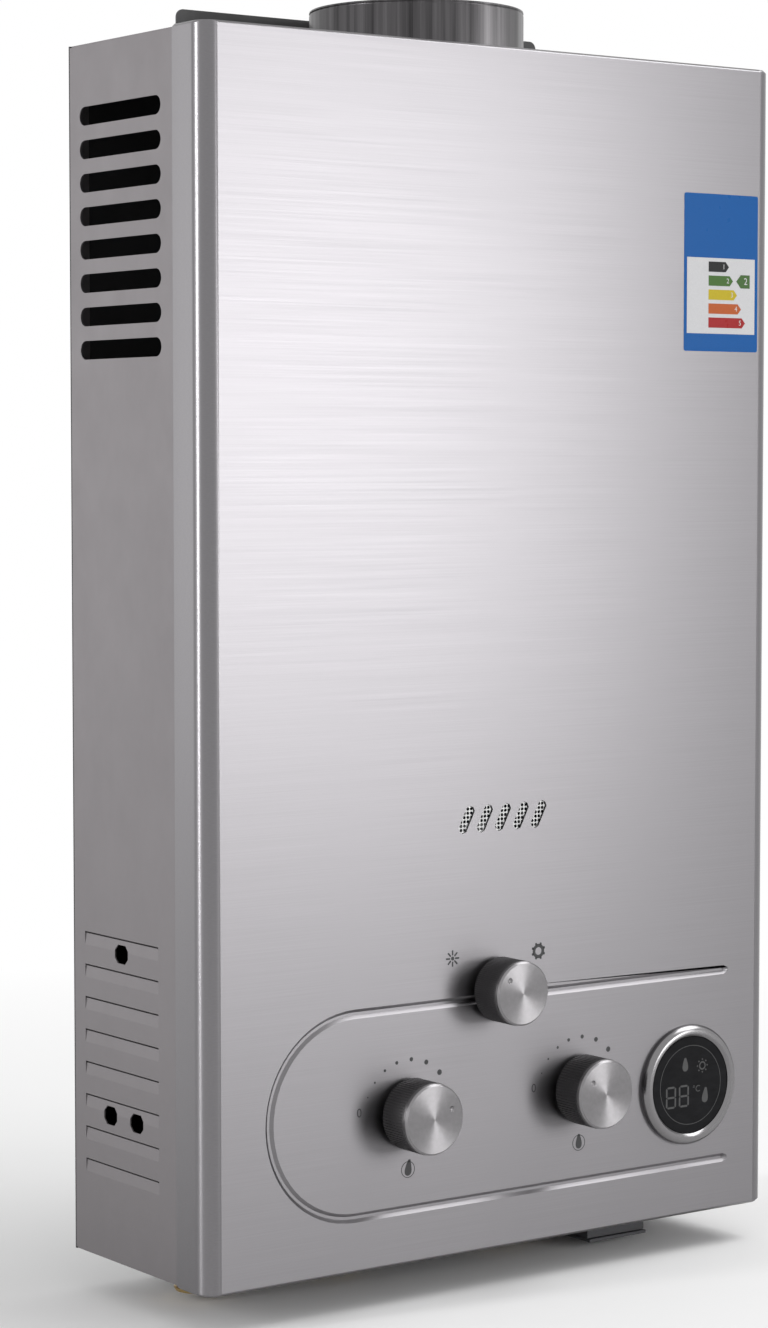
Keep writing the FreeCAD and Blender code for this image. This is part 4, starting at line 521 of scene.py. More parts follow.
def make_finishes():
    """Every finish by the record's material slot."""
    tone = colours()
    cover = brushed("cover brushed steel", tone.cover, (11.0, 900.0, 3200.0), 0.31, 0.35, 0.000004, 0.05)
    stretch_highlights(cover, 0.6)
    return {
        "cover_metal": cover,
        "casing_sheet": painted("casing grey sheet", tone.casing, 0.8, 0.42, 0.50),
        "back_sheet": painted("back plate black", (0.012, 0.012, 0.013), 0.0, 0.45, 0.6),
        # Flue collar: tone swings by half either way in upright streaks, painted reflections of light and
        # dark surroundings
        "flue_sheet": brushed("flue collar steel", tone.flue, (260.0, 260.0, 4.0), 0.28, 0.40, 0.00001, 0.5),
        "screen_metal": brushed("window mesh steel", (0.30, 0.30, 0.30), (500.0, 500.0, 500.0), 0.25, 0.4),
        "knob_plastic": moulded("dial side dark grey", tone.grip, 0.34, 0.5),
        "cap_metal": spun_metal("dial cap spun metal", tone.cap),
        "bezel_metal": painted("bezel satin metal", (0.22, 0.215, 0.22), 1.0, 0.18, 0.24, 1500.0, 0.000001),
        "lens_glass": glass("display glass", (0.010, 0.010, 0.011)),
        "dark_plastic": moulded("dark grey plastic", (0.05, 0.05, 0.055)),
        "screw_steel": cast_metal("zinc plated steel", (0.55, 0.56, 0.58), 0.22, 0.35, 1500.0, 0.00001),
        "inner_steel": brushed("inner sheet steel", (0.45, 0.45, 0.45), (40.0, 500.0, 900.0), 0.35, 0.5),
        "copper": brushed("drawn copper", (0.62, 0.30, 0.18), (60.0, 60.0, 60.0), 0.28, 0.42, 0.00001, 0.18),
        "brass": cast_metal("cast brass", (0.60, 0.44, 0.20), 0.3, 0.5, 1100.0, 0.00003),
        "zinc_casting": cast_metal("zinc casting", (0.42, 0.42, 0.43)),
        "spindle_steel": brushed("turned steel", (0.5, 0.5, 0.5), (900.0, 60.0, 900.0), 0.22, 0.35),
        "ceramic": moulded("white ceramic", (0.78, 0.77, 0.73), 0.35, 0.5, 1800.0, 0.00001),
        "rubber": moulded("black rubber", (0.02, 0.02, 0.02), 0.6, 0.75),
        "lead_cover": moulded("red lead cover", (0.28, 0.02, 0.02), 0.4, 0.55),
        "cell_jacket": painted("cell jacket", (0.06, 0.07, 0.09), 0.3, 0.25, 0.35),
        "board": moulded("green circuit board", (0.02, 0.09, 0.04), 0.35, 0.5),
    }


FINISHES = {}


class HeaterOperator:
    """What the heater's operators share."""
    bl_options = {"REGISTER", "UNDO"}


class HEATER_OT_finishes(HeaterOperator, bpy.types.Operator):
    """Make the finishes and give every node of the frame its own"""
    bl_idname = "heater.finishes"
    bl_label = "Finishes"

    def execute(self, context):
        FINISHES.update(make_finishes())
        for row in frame["record"]["subparts"]:
            mesh = NODES[row["node"]].data
            mesh.materials.clear()
            mesh.materials.append(FINISHES[row["material_slot"]])
        return {"FINISHED"}


# Window slots: half the height that holds them, a depth behind their corners, and how far their two ends lean
# and draw apart
WINDOW = {"half": 0.0085, "behind": -0.1185, "lean": 0.0008, "apart": 0.0005}
# Bead: where its runs end and lie, half its mouth and its floor, its depth, the length of the run-out, the
# depths of the end's corners with how far they come forward, and how narrow the end is
BEAD = {"end": 0.1477, "runs": (-0.1695, -0.2681), "half": 0.0024, "half_floor": 0.0014, "deep": 0.0014,
        "run_out": 0.003, "lifts": ((0.0013, -0.0011), (0.0008, -0.00065)), "narrow": 0.45}


class HEATER_OT_cover(HeaterOperator, bpy.types.Operator):
    """Lean and lengthen the cover's window slots and let its pressed bead run out at the right"""
    bl_idname = "heater.cover"
    bl_label = "Cover"

    def execute(self, context):
        cover = sheet_of("front_cover", "cover_sheet", whole=False)
        window = centre_of("flame_window_screen")
        low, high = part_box("flame_window_screen")

        def in_window(place):
            return (low.x < place.x < high.x and abs(place.z - window.z) < WINDOW["half"]
                    and place.y < WINDOW["behind"])

        for side in (1, -1):
            edit(cover, "VERT", lambda corner: in_window(corner.co) and (corner.co.z - window.z) * side > 0,
                 bpy.ops.transform.translate, value=(WINDOW["lean"] * side, 0, WINDOW["apart"] * side))

        def in_groove(face):
            heart = face.calc_center_median()
            return (face.normal.y < -0.3 and NEAR < heart.y - COVER_FACE < BEAD["deep"]
                    and any(abs(heart.z - run) < BEAD["half"] for run in BEAD["runs"]))

        def at_end(corner, run, half):
            return abs(corner.co.x - BEAD["end"]) < NEAR and abs(corner.co.z - run) < half

        edit(cover, "FACE", in_groove,
             bpy.ops.mesh.bisect, plane_co=(BEAD["end"] - BEAD["run_out"], 0, 0), plane_no=(1, 0, 0))
        for run in BEAD["runs"]:
            for depth, lift in BEAD["lifts"]:
                edit(cover, "VERT", lambda corner: at_end(corner, run, BEAD["half_floor"])
                     and abs(corner.co.y - COVER_FACE - depth) < NEAR,
                     bpy.ops.transform.translate, value=(0, lift, 0))
            edit(cover, "VERT", lambda corner: at_end(corner, run, BEAD["half"])
                 and corner.co.y < COVER_FACE + 3 * NEAR,
                 bpy.ops.transform.resize, value=(1, 1, BEAD["narrow"]), center_override=(0, 0, run))

        shade(cover, 50)
        edit(cover, "EDGE", lambda edge: sum(face.normal.y < -0.9999 for face in edge.link_faces) == 1,
             bpy.ops.mesh.mark_sharp)
        even_normals(cover)
        finished(cover, FINISHES["cover_metal"], "heater", "cover_metal", "front_cover")
        return {"FINISHED"}


# Louvres: a foot's height, spacing, height and depth, the sheet's thickness, the heights that hold them all,
# the share of the depth that the slope keeps, and the gap along its top edge
LOUVRE = {"foot": -0.1415, "pitch": 0.016, "tall": 0.0065, "deep": 0.0032, "sheet": 0.0008,
          "lowest": -0.255, "highest": -0.134, "kept": 0.16, "gap": 0.0009}
# Vent slots: a height below them, a depth in front and behind, and the radius of their corners
VENT = {"lowest": 0.140, "front": -0.084, "back": -0.009, "corner": 0.0018}


class HEATER_OT_casing(HeaterOperator, bpy.types.Operator):
    """Press the louvres, round the vent slots of the side panels, and finish the other sheets"""
    bl_idname = "heater.casing"
    bl_label = "Casing"

    def execute(self, context):
        for node, name, side in (("left_side_panel", "left_panel_sheet", -1),
                                 ("right_side_panel", "right_panel_sheet", 1)):
            panel = sheet_of(node, name)
            self.press_louvres(panel, side)
            edit(panel, "EDGE", lambda edge: through_sheet(edge, 0) and middle(edge).z > VENT["lowest"]
                 and VENT["front"] < middle(edge).y < VENT["back"],
                 bpy.ops.mesh.bevel, offset=VENT["corner"], segments=3, affect="EDGES")
            smooth_sheet(panel, "casing_sheet", node, 8)
        for node, name, slot in (("top_plate", "top_sheet", "casing_sheet"),
                                 ("bottom_plate", "bottom_sheet", "casing_sheet"),
                                 ("back_plate", "back_sheet", "back_sheet")):
            smooth_sheet(sheet_of(node, name), slot, node)
        return {"FINISHED"}

    def press_louvres(self, panel, side):
        """Makes the louvres shallow and leaves a gap along their top edges."""
        face = max(abs(corner.co.x) for corner in panel.data.vertices)
        skins = (0.0, LOUVRE["sheet"])

        def at_louvres(place):
            return LOUVRE["lowest"] < place.z < LOUVRE["highest"]

        def on_slope(place, skin):
            up = (place.z - LOUVRE["foot"]) % LOUVRE["pitch"]
            return (at_louvres(place) and NEAR < up < LOUVRE["tall"] + NEAR
                    and abs(face - abs(place.x) - skin - up * LOUVRE["deep"] / LOUVRE["tall"]) < NEAR)

        def at_top_edge(place, skin):
            return abs(face - abs(place.x) - skin - LOUVRE["kept"] * LOUVRE["deep"]) < 2e-5

        for skin in skins:
            edit(panel, "VERT", lambda corner: on_slope(corner.co, skin), bpy.ops.transform.resize,
                 value=(LOUVRE["kept"], 1, 1), center_override=((face - skin) * side, 0, 0))
        edit(panel, "VERT", lambda corner: at_louvres(corner.co)
             and any(at_top_edge(corner.co, skin) for skin in skins),
             bpy.ops.transform.translate, value=(0, 0, -LOUVRE["gap"]))


# Flue collar: how far its swaged ring stands out, its wall, the ring's foot below the top, and a rounding
FLUE = {"ring": 0.001, "wall": 0.0008, "foot": 0.023, "ease": 0.0003}


class HEATER_OT_flue(HeaterOperator, bpy.types.Operator):
    """Turn the flue collar with its swaged ring and the fine line below its rim"""
    bl_idname = "heater.flue"
    bl_label = "Flue collar"

    def execute(self, context):
        low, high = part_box("flue_collar")
        ring, ease = (high.x - low.x) / 2, FLUE["ease"]
        outside = ring - FLUE["ring"]
        inside = outside - FLUE["wall"]
        tall = high.z - low.z
        seat = tall - FLUE["foot"]
        tube = turned("flue_tube", [
            (inside, 0), (outside, 0), (outside, seat), (ring - ease, seat), (ring, seat + ease),
            (ring - ease, seat + 0.001), (outside, seat + 0.002), (outside, tall - 0.0022),
            (outside - ease, tall - 0.0017), (outside - ease, tall - 0.0013), (outside, tall - 0.0008),
            (outside - 0.0002, tall), (inside, tall),
        ], rounds=128, closed=True)
        stand(tube, ((low.x + high.x) / 2, (low.y + high.y) / 2, low.z), "UP")
        dressed(tube, 40, "heater", "flue_sheet", "flue_collar")
        return {"FINISHED"}


# Window mesh: half a bar and a hole's cut corner as shares of the spacing, the sheet, and its gap in front
MESH = {"bar": 0.12, "corner": 0.20, "sheet": 0.00025, "behind": 0.00001}


class HEATER_OT_window(HeaterOperator, bpy.types.Operator):
    """Punch the bright mesh behind the window slots"""
    bl_idname = "heater.window"
    bl_label = "Window mesh"

    def execute(self, context):
        low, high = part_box("flame_window_screen")
        wide, tall = high.x - low.x, high.z - low.z
        pitch = sizes().mesh_pitch
        screen = added("window_mesh", bpy.ops.mesh.primitive_grid_add, size=1,
                       x_subdivisions=round(wide / pitch), y_subdivisions=round(tall / pitch))
        opened(screen)
        bpy.ops.transform.resize(value=(wide, tall, 1), center_override=(0, 0, 0))
        bpy.ops.mesh.inset(thickness=pitch * MESH["bar"], use_individual=True)
        bpy.ops.mesh.bevel(offset=pitch * MESH["corner"], affect="VERTICES", segments=1)
        bpy.ops.mesh.select_mode(type="FACE")
        bpy.ops.object.mode_set(mode="OBJECT")
        pick(screen, "FACE", lambda face: len(face.verts) == 8 and face.calc_area() > (pitch / 2) ** 2)
        bpy.ops.mesh.delete(type="FACE")
        close()
        modify(screen, "SOLIDIFY", thickness=MESH["sheet"], offset=-1)
        stand(screen, ((low.x + high.x) / 2, low.y + MESH["behind"], (low.z + high.z) / 2))
        finished(screen, FINISHES["screen_metal"], "heater", "screen_metal", "flame_window_screen")
        return {"FINISHED"}


# Dials: each pointer at rest in degrees, and the small dial's ridges with the share of their depth
POINTERS = {"gas": 22.6, "water": 142.0, "season": 139.0}
SMALL_DIAL = {"ridges": 96, "depth": 0.4}


def grip_of(name, radius, length, count, depth):
    """Side of a dial: a bar with bevelled ends and fine ridges along it."""
    grip = added(name, bpy.ops.mesh.primitive_cylinder_add, vertices=2 * count, radius=radius, depth=length)
    settle(grip, (0, 0, length / 2))
    edit(grip, "EDGE", lambda edge: reach_along(edge, 2) < TOUCHING,
         bpy.ops.mesh.bevel, offset=0.0005, segments=2, affect="EDGES")
    step = math.pi / count

    def in_groove(face):
        heart = face.calc_center_median()
        return abs(face.normal.z) <= 0.1 and math.floor(math.atan2(heart.y, heart.x) / step) % 2 == 0

    pick(grip, "FACE", in_groove)
    bpy.ops.mesh.extrude_region_shrink_fatten(TRANSFORM_OT_shrink_fatten={"value": -depth})
    close()
    return grip


def cap_of(name, radius, thickness, turn):
    """Cap of a dial: a chamfered disc with a dimple for its pointer."""
    cap = added(name, bpy.ops.mesh.primitive_cylinder_add, vertices=128, radius=radius, depth=thickness)
    settle(cap, (0, 0, thickness / 2))
    pick(cap, "EDGE", lambda edge: min(corner.co.z for corner in edge.verts) > thickness - TOUCHING)
    bpy.ops.mesh.bevel(offset=sizes().cap_chamfer, segments=1, affect="EDGES")
    close()
    deep, reach = sizes().dimple, sizes().dimple_place
    place = (reach * math.cos(turn), reach * math.sin(turn), thickness + deep * 0.45)
    cut(cap, added("dimple_cutter", bpy.ops.mesh.primitive_uv_sphere_add, place,
                   segments=32, ring_count=16, radius=deep * 1.15))
    soften(cap, 0.00006)
    return cap


class HEATER_OT_dials(HeaterOperator, bpy.types.Operator):
    """Model the three dials: knurled dark sides and spun metal caps with a pointer dimple"""
    bl_idname = "heater.dials"
    bl_label = "Dials"

    def execute(self, context):
        for dial, pointer in POINTERS.items():
            low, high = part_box(f"{dial}_knob")
            axis_x, axis_z = (low.x + high.x) / 2, (low.z + high.z) / 2
            count, depth = sizes().knurl_count, sizes().knurl_depth
            if dial == "season":
                count, depth = SMALL_DIAL["ridges"], depth * SMALL_DIAL["depth"]
            grip = grip_of(f"{dial}_grip", (high.x - low.x) / 2, high.y - low.y, count, depth)
            stand(grip, (axis_x, high.y, axis_z))
            dressed(grip, 25, f"{dial}_control", "knob_plastic", f"{dial}_knob")
            low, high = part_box(f"{dial}_knob_cap")
            cap = cap_of(f"{dial}_cap", (high.x - low.x) / 2, high.y - low.y, math.radians(pointer))
            stand(cap, (axis_x, high.y, axis_z))
            shade(cap, 25)
            even_normals(cap)
            finished(cap, FINISHES["cap_metal"], f"{dial}_control", "cap_metal", f"{dial}_knob_cap")
        return {"FINISHED"}


# Flat marks

def bar_mark(name, long, wide, corner, segments):
    """Thin flat bar with cut or rounded corners."""
    bar = added(name, bpy.ops.mesh.primitive_cube_add, size=1)
    settle(bar, scale=(long, wide, sizes().print_height))
    pick(bar, "EDGE", lambda edge: reach_along(edge, 2) > TOUCHING)
    bpy.ops.mesh.bevel(offset=corner, segments=segments, affect="EDGES")
    close()
    return bar


def digit_eight(name, wide, tall, bar, place):
    """Seven bars of one digit, all shown, drawn flat about a place."""
    half, side, up = tall / 2, wide / 2, math.radians(90)
    places = [(0, half, 0), (0, 0, 0), (0, -half, 0), (-side, half / 2, up), (side, half / 2, up),
              (-side, -half / 2, up), (side, -half / 2, up)]
    first = bar_mark(name, wide * 0.86, bar, bar * 0.48, 1)
    return settle(laid_out(name, first, places), place)


def lettering(name, words, height, place):
    """Words drawn flat as a thin mesh, centred on a place."""
    text = added(name, bpy.ops.object.text_add)
    text.data.body = words
    text.data.size = height
    text.data.align_x = "CENTER"
    text.data.align_y = "CENTER"
    text.data.extrude = sizes().print_height / 2
    text.data.resolution_u = 4
    bpy.ops.object.convert(target="MESH")
    return settle(started(name), place)


def ring_mark(name, outside, inside, place, rounds):
    """Thin flat ring."""
    high = sizes().print_height / 2
    section = [(inside, -high), (outside, -high), (outside, high), (inside, high)]
    return settle(turned(name, section, rounds, closed=True), place)


def disc_mark(name, radius, place, rounds):
    """Thin flat dot with a soft edge."""
    high = sizes().print_height / 2
    return settle(turned(name, [(radius, -high), (radius, high * 0.4), (radius * 0.97, high)], rounds), place)


def drop_mark(name, radius, height, place, lean=0.0):
    """Thin drop: a disc whose top is drawn up to a point."""
    piece = disc_mark(name, radius, (0, 0, 0), 40)
    pick(piece, "VERT", lambda corner: corner.co.y > radius * 0.9)
    bpy.ops.transform.translate(value=(lean, height, 0), use_proportional_edit=True,
                                proportional_edit_falloff="SHARP", proportional_size=radius * 1.6)
    close()
    return settle(piece, place)


def ring_of_dots(name, radius, reach, first, place=(0, 0, 0)):
    """Eight small dots round a place."""
    turns = [math.radians(45 * number + first) for number in range(8)]
    return [disc_mark(f"{name}_{number}", radius,
                      (place[0] + reach * math.cos(turn), place[1] + reach * math.sin(turn), 0), 12)
            for number, turn in enumerate(turns)]


def snowflake(name, reach, bar):
    """Eight rays about a dot."""
    turns = [math.radians(45 * number) for number in range(8)]
    places = [(reach * 0.66 * math.cos(turn), reach * 0.66 * math.sin(turn), turn) for turn in turns]
    rays = laid_out(name, bar_mark(name, reach * 0.62, bar, bar * 0.35, 2), places)
    return joined(name, [rays, disc_mark(f"{name}_heart", reach * 0.24, (0, 0, 0), 16)])


# Display: middle of each unlit digit, and middle of the small sun
DIGITS = ((-0.0132, -0.0054, 0), (-0.0045, -0.0054, 0))
UNLIT_SUN = (0.0080, 0.0092, 0)


class HEATER_OT_display(HeaterOperator, bpy.types.Operator):
    """Turn the display's bezel and glass and draw its unlit marks"""
    bl_idname = "heater.display"
    bl_label = "Display"

    def execute(self, context):
        low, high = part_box("display_bezel")
        place = ((low.x + high.x) / 2, high.y, (low.z + high.z) / 2)
        outside, tall = (high.x - low.x) / 2, high.y - low.y
        low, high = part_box("display_lens")
        glass_radius, thick = (high.x - low.x) / 2, high.y - low.y
        inside = glass_radius + 0.00005
        bezel = turned("display_ring", [
            (inside, 0), (outside, 0), (outside, tall - 0.0026), (outside - 0.0003, tall - 0.0019),
            (outside - 0.0019, tall - 0.0002), (outside - 0.0024, tall), (inside + 0.0015, tall),
            (inside + 0.0010, tall - 0.0003), (inside, tall - 0.0014),
        ], rounds=128, closed=True)
        stand(bezel, place)
        dressed(bezel, 25, "heater", "bezel_metal", "display_bezel")

        pane = turned("display_glass", [
            (glass_radius, 0), (glass_radius, thick - 0.0004), (glass_radius - 0.0004, thick),
        ], rounds=128)
        stand(pane, (place[0], high.y, place[2]))
        dressed(pane, 30, "heater", "lens_glass", "display_lens")

        marks = [ring_mark("display_line", 0.0206, 0.0203, (0, 0, 0), 96)]
        for number, spot in enumerate(DIGITS):
            marks.append(digit_eight(f"digit_{number}", 0.0058, 0.0104, 0.0010, spot))
        marks.append(lettering("degrees", "°C", 0.0048, (0.0040, -0.0026, 0)))
        marks.append(drop_mark("flame_mark", 0.0020, 0.0038, (0.0098, -0.0082, 0), 0.0006))
        marks.append(drop_mark("water_mark", 0.0019, 0.0032, (-0.0036, 0.0092, 0)))
        marks.append(ring_mark("sun_mark", 0.0022, 0.0015, UNLIT_SUN, 24))
        marks += ring_of_dots("sun_mark_ray", 0.00045, 0.0033, 0, UNLIT_SUN)
        unlit = joined("display_marks", marks)
        stand(unlit, (place[0], low.y - sizes().print_height * 0.4, place[2]))
        finished(unlit, ink("unlit display marks", (0.035, 0.035, 0.036), 0.4), "heater", "lens_glass")
        return {"FINISHED"}


# Prints: the dots' places round a large dial in degrees, and each picture's place from its dial's axis
DOTS = (157, 139.5, 122, 105, 85.6, 65, 43)
ZERO = (-0.0290, 0.0030, 0)
DROP, DROP_RING = (0, -0.0288, 0), (0, -0.0278, 0)
DROPS = {"gas": ("gas_flame", 0.0021, 0.0038, 0.0008), "water": ("water_drop", 0.0020, 0.0034, 0.0)}
SNOW, SUN = (-0.0269, 0.0171), (0.0265, 0.0161)


class HEATER_OT_prints(HeaterOperator, bpy.types.Operator):
    """Print the dots, numbers and pictures round the dials"""
    bl_idname = "heater.prints"
    bl_label = "Prints"

    def execute(self, context):
        black = ink("black print", colours().ink)
        reach = sizes().dot_ring
        for dial, (name, wide, height, lean) in DROPS.items():
            marks = []
            for number, angle in enumerate(DOTS):
                share = number / (len(DOTS) - 1)
                radius = sizes().first_dot + (sizes().last_dot - sizes().first_dot) * share
                turn = math.radians(angle)
                spot = (reach * math.cos(turn), reach * math.sin(turn), 0)
                marks.append(disc_mark(f"{dial}_dot_{number}", radius, spot, 24))
            marks.append(lettering(f"{dial}_low", "0", 0.0062, ZERO))
            marks.append(drop_mark(name, wide, height, DROP, lean))
            marks.append(ring_mark(f"{name}_ring", 0.0041, 0.0037, DROP_RING, 40))
            self.press(joined(f"{dial}_scale", marks), black, f"{dial}_knob")
        self.press(snowflake("snow_mark", 0.0042, 0.0009), black, "season_knob", SNOW)
        sun = [ring_mark("sun_ring", 0.0036, 0.0019, (0, 0, 0), 40)]
        sun += ring_of_dots("sun_ray", 0.0007, 0.0038, 22.5)
        self.press(joined("sun_mark_print", sun), black, "season_knob", SUN)
        return {"FINISHED"}

    def press(self, mark, finish, knob, aside=(0, 0)):
        """Prints a mark on the cover, aside from the middle of a dial."""
        heart = centre_of(knob)
        stand(mark, (heart.x + aside[0], COVER_FACE - sizes().print_height * 0.3, heart.z + aside[1]))
        finished(mark, finish, "heater", "cover_metal")


def card(name, wide, tall, thick, corner=0.0):
    """Thin card with rounded corners, drawn flat about its middle."""
    piece = settle(added(name, bpy.ops.mesh.primitive_plane_add, size=1), scale=(wide, tall, 1))
    opened(piece)
    if corner:
        bpy.ops.mesh.bevel(offset=corner, segments=4, affect="VERTICES")
        bpy.ops.mesh.select_all(action="SELECT")
    bpy.ops.mesh.extrude_region_move(TRANSFORM_OT_translate={"value": (0, 0, thick)})
    close()
    return piece


def arrow_bar(name, wide, tall, thick, place, turn=0):
    """Flat bar with one pointed end."""
    bar = card(name, wide, tall, thick)
    tip = wide / 2 - TOUCHING
    edit(bar, "EDGE", lambda edge: middle(edge).x > tip and reach_along(edge, 1) > TOUCHING,
         bpy.ops.mesh.subdivide, number_cuts=1)
    pick(bar, "VERT", lambda corner: corner.co.x > tip and abs(corner.co.y) < TOUCHING)
    bpy.ops.transform.translate(value=(tall * 0.45, 0, 0))
    close()
    return settle(bar, place, (0, 0, turn))


# Sticker: its middle, card and corner, white field and how far it lies below the middle, film, then the bars'
# height, left end, first width and height with the steps to the next, and the size and inset of their numbers
STICKER = {"x": 0.140, "z": 0.190, "card": (0.050, 0.080), "corner": 0.0012, "field": (0.0460, 0.0385),
           "field_down": 0.0117, "film": 0.00008, "bar": 0.0052, "left": -0.0085, "wide": 0.0115,
           "wider": 0.0028, "first": 0.0148, "step": 0.0071, "number": 0.0036, "number_in": 0.0012}
BARS = ((0.012, 0.012, 0.013), (0.05, 0.12, 0.025), (0.42, 0.33, 0.015), (0.38, 0.085, 0.02),
        (0.28, 0.012, 0.014))
FIGURE = (0.5, 0.5, 0.5)


class HEATER_OT_sticker(HeaterOperator, bpy.types.Operator):
    """Stick the rating sticker on the cover: a blue card, a white field and a plain scale of bars"""
    bl_idname = "heater.sticker"
    bl_label = "Sticker"

    def execute(self, context):
        film = STICKER["film"]
        field_z = STICKER["z"] - STICKER["field_down"]
        self.stick(card("sticker_card", *STICKER["card"], film, STICKER["corner"]), "sticker blue film",
                   colours().sticker, 0, STICKER["z"])
        self.stick(card("sticker_field", *STICKER["field"], film * 0.5), "sticker white field",
                   (0.50, 0.50, 0.51), 1, field_z)
        for number, colour in enumerate(BARS):
            wide = STICKER["wide"] + STICKER["wider"] * number
            high = STICKER["first"] - STICKER["step"] * number
            place = (STICKER["left"] + wide / 2, high, 0)
            self.stick(arrow_bar(f"sticker_bar_{number + 1}", wide, STICKER["bar"], film * 0.4, place),
                       f"sticker bar {number + 1}", colour, 1.5, field_z)
            place = (STICKER["left"] + wide - STICKER["number_in"], high, 0)
            self.stick(lettering(f"sticker_number_{number + 1}", str(number + 1), STICKER["number"], place),
                       f"sticker figure {number + 1}", FIGURE, 2.1, field_z)
        self.stick(arrow_bar("sticker_pointer", 0.0062, 0.0068, film * 0.4, (0.0165, 0.0077, 0), math.pi),
                   "sticker pointer", (0.05, 0.11, 0.03), 1.5, field_z)
        self.stick(lettering("sticker_pointer_number", "2", 0.0050, (0.0168, 0.0077, 0)),
                   "sticker pointer figure", FIGURE, 2.1, field_z)
        return {"FINISHED"}

    def stick(self, piece, finish, colour, films, height):
        """Puts a flat piece so many films in front of the cover."""
        stand(piece, (STICKER["x"], COVER_FACE - STICKER["film"] * films, height))
        finished(piece, coated_paper(finish, colour), "heater", "cover_metal")


# Cover screws: radius of a head, its middle from the outer edge, and the recess as shares of the head
SCREW = {"radius": 0.0033, "in": 0.0036, "long": 1.15, "wide": 0.26, "deep": 1.1}


class HEATER_OT_screws(HeaterOperator, bpy.types.Operator):
    """Turn the pan heads of the cover screws and cut their cross recess"""
    bl_idname = "heater.screws"
    bl_label = "Cover screws"

    def execute(self, context):
        low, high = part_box("cover_screws")
        cover_low, cover_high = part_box("front_cover")
        radius = SCREW["radius"]
        tall = high.z - cover_high.z
        head = turned("screw_head", [(radius, 0), (radius, tall * 0.35), (radius * 0.9, tall * 0.75),
                                     (radius * 0.6, tall)], 40)
        for turn in (0, 90):
            cutter = added("recess_cutter", bpy.ops.mesh.primitive_cube_add, (0, 0, tall), size=1)
            cutter.scale = (radius * SCREW["long"], radius * SCREW["wide"], tall * SCREW["deep"])
            cutter.rotation_euler = (0, 0, math.radians(turn))
            cut(head, cutter)
        depth = (low.y + high.y) / 2
        reach = high.x - SCREW["in"]
        heads = []
        for number, (x, up) in enumerate(((-reach, True), (reach, True), (-reach, False), (reach, False))):
            one = copy_of(head, f"screw_{number}")
            heads.append(stand(one, (x, depth, cover_high.z if up else cover_low.z), "UP" if up else "DOWN"))
        bpy.data.objects.remove(head)
        dressed(joined("cover_screw_heads", heads), 35, "heater", "screw_steel", "cover_screws")
        return {"FINISHED"}


# Pipe connections: radii of the thread's crest and root, the bore and the neck, where the thread begins and
# ends and the neck begins above the open end, and the bottom plate's thickness
THREAD = {"crest": 0.01048, "root": 0.00935, "bore": 0.0070, "neck": 0.0098, "begins": 0.0008, "ends": 0.014,
          "neck_begins": 0.0145, "plate": 0.0008}


class HEATER_OT_connections(HeaterOperator, bpy.types.Operator):
    """Turn the threaded pipe connections under the casing"""
    bl_idname = "heater.connections"
    bl_label = "Pipe connections"

    def execute(self, context):
        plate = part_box("bottom_plate")[0].z + THREAD["plate"]
        for node in ("gas_inlet", "cold_inlet", "hot_outlet"):
            low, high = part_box(node)
            thread = turned(f"{node}_thread", self.outline(low.z, plate), 64, True)
            nut = added(f"{node}_nut", bpy.ops.mesh.primitive_cylinder_add, vertices=6,
                        radius=(high.x - low.x) / 2 * 0.995, depth=high.z - plate)
            settle(nut, (0, 0, (high.z + plate) / 2))
            soften(nut, 0.0006)
            piece = joined(f"{node}_fitting", [thread, nut])
            stand(piece, ((low.x + high.x) / 2, (low.y + high.y) / 2, 0), "UP")
            dressed(piece, 35, "heater", "brass", node)
        return {"FINISHED"}

    def outline(self, start, plate):
        """Half section of a threaded connection from its open end up to the plate."""
        pitch, root, bore = sizes().thread_pitch, THREAD["root"], THREAD["bore"]
        end = start + THREAD["ends"]
        outline = [(bore, start), (root + 0.0004, start)]
        height = start + THREAD["begins"]
        while height + pitch < end:
            outline += [(THREAD["crest"], height + pitch * 0.35), (THREAD["crest"], height + pitch * 0.5),
                        (root, height + pitch * 0.85), (root, height + pitch)]
            height += pitch
        neck = THREAD["neck"]
        return outline + [(root, end), (neck, start + THREAD["neck_begins"]), (neck, plate), (bore, plate)]


# Finger ribs of the battery door: a rib's length, width, height and corner, and the first one's inset
RIB = {"size": (0.022, 0.0012, 0.0007, 0.0005), "count": 6, "pitch": 0.0026, "in": 0.008}


class HEATER_OT_battery_door(HeaterOperator, bpy.types.Operator):
    """Add the finger ribs under the battery door"""
    bl_idname = "heater.battery_door"
    bl_label = "Battery door"

    def execute(self, context):
        low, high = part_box("battery_door")
        first = card("door_rib", *RIB["size"])
        ribs = []
        for number in range(RIB["count"]):
            rib = copy_of(first, f"door_rib_{number}")
            place = ((low.x + high.x) / 2, low.y + RIB["in"] + RIB["pitch"] * number, low.z)
            ribs.append(stand(rib, place, "DOWN"))
        bpy.data.objects.remove(first)
        dressed(joined("door_ribs", ribs), 30, "door", "dark_plastic")
        return {"FINISHED"}


# Stage: plain white, and the sweep's side, rise, bend, gap below the object and start and end of its white

WHITE = (1, 1, 1, 1)
SWEEP = {"side": 12, "rise": 6, "bend": 2.0, "gap": 0.0015, "white_from": 0.42, "white_at": 1.0}


def seen_share(owner):
    """1 for rays that show a surface, also in metal or through glass, and 0 for those that light others."""
    path = node_in(owner, "ShaderNodeLightPath")
    total = path.outputs["Is Camera Ray"]
    for kind in ("Is Glossy Ray", "Is Transmission Ray"):
        add = node_in(owner, "ShaderNodeMath")
        add.operation = "ADD"
        add.use_clamp = True
        wire(owner, total, add.inputs[0])
        wire(owner, path.outputs[kind], add.inputs[1])
        total = add.outputs["Value"]
    return total


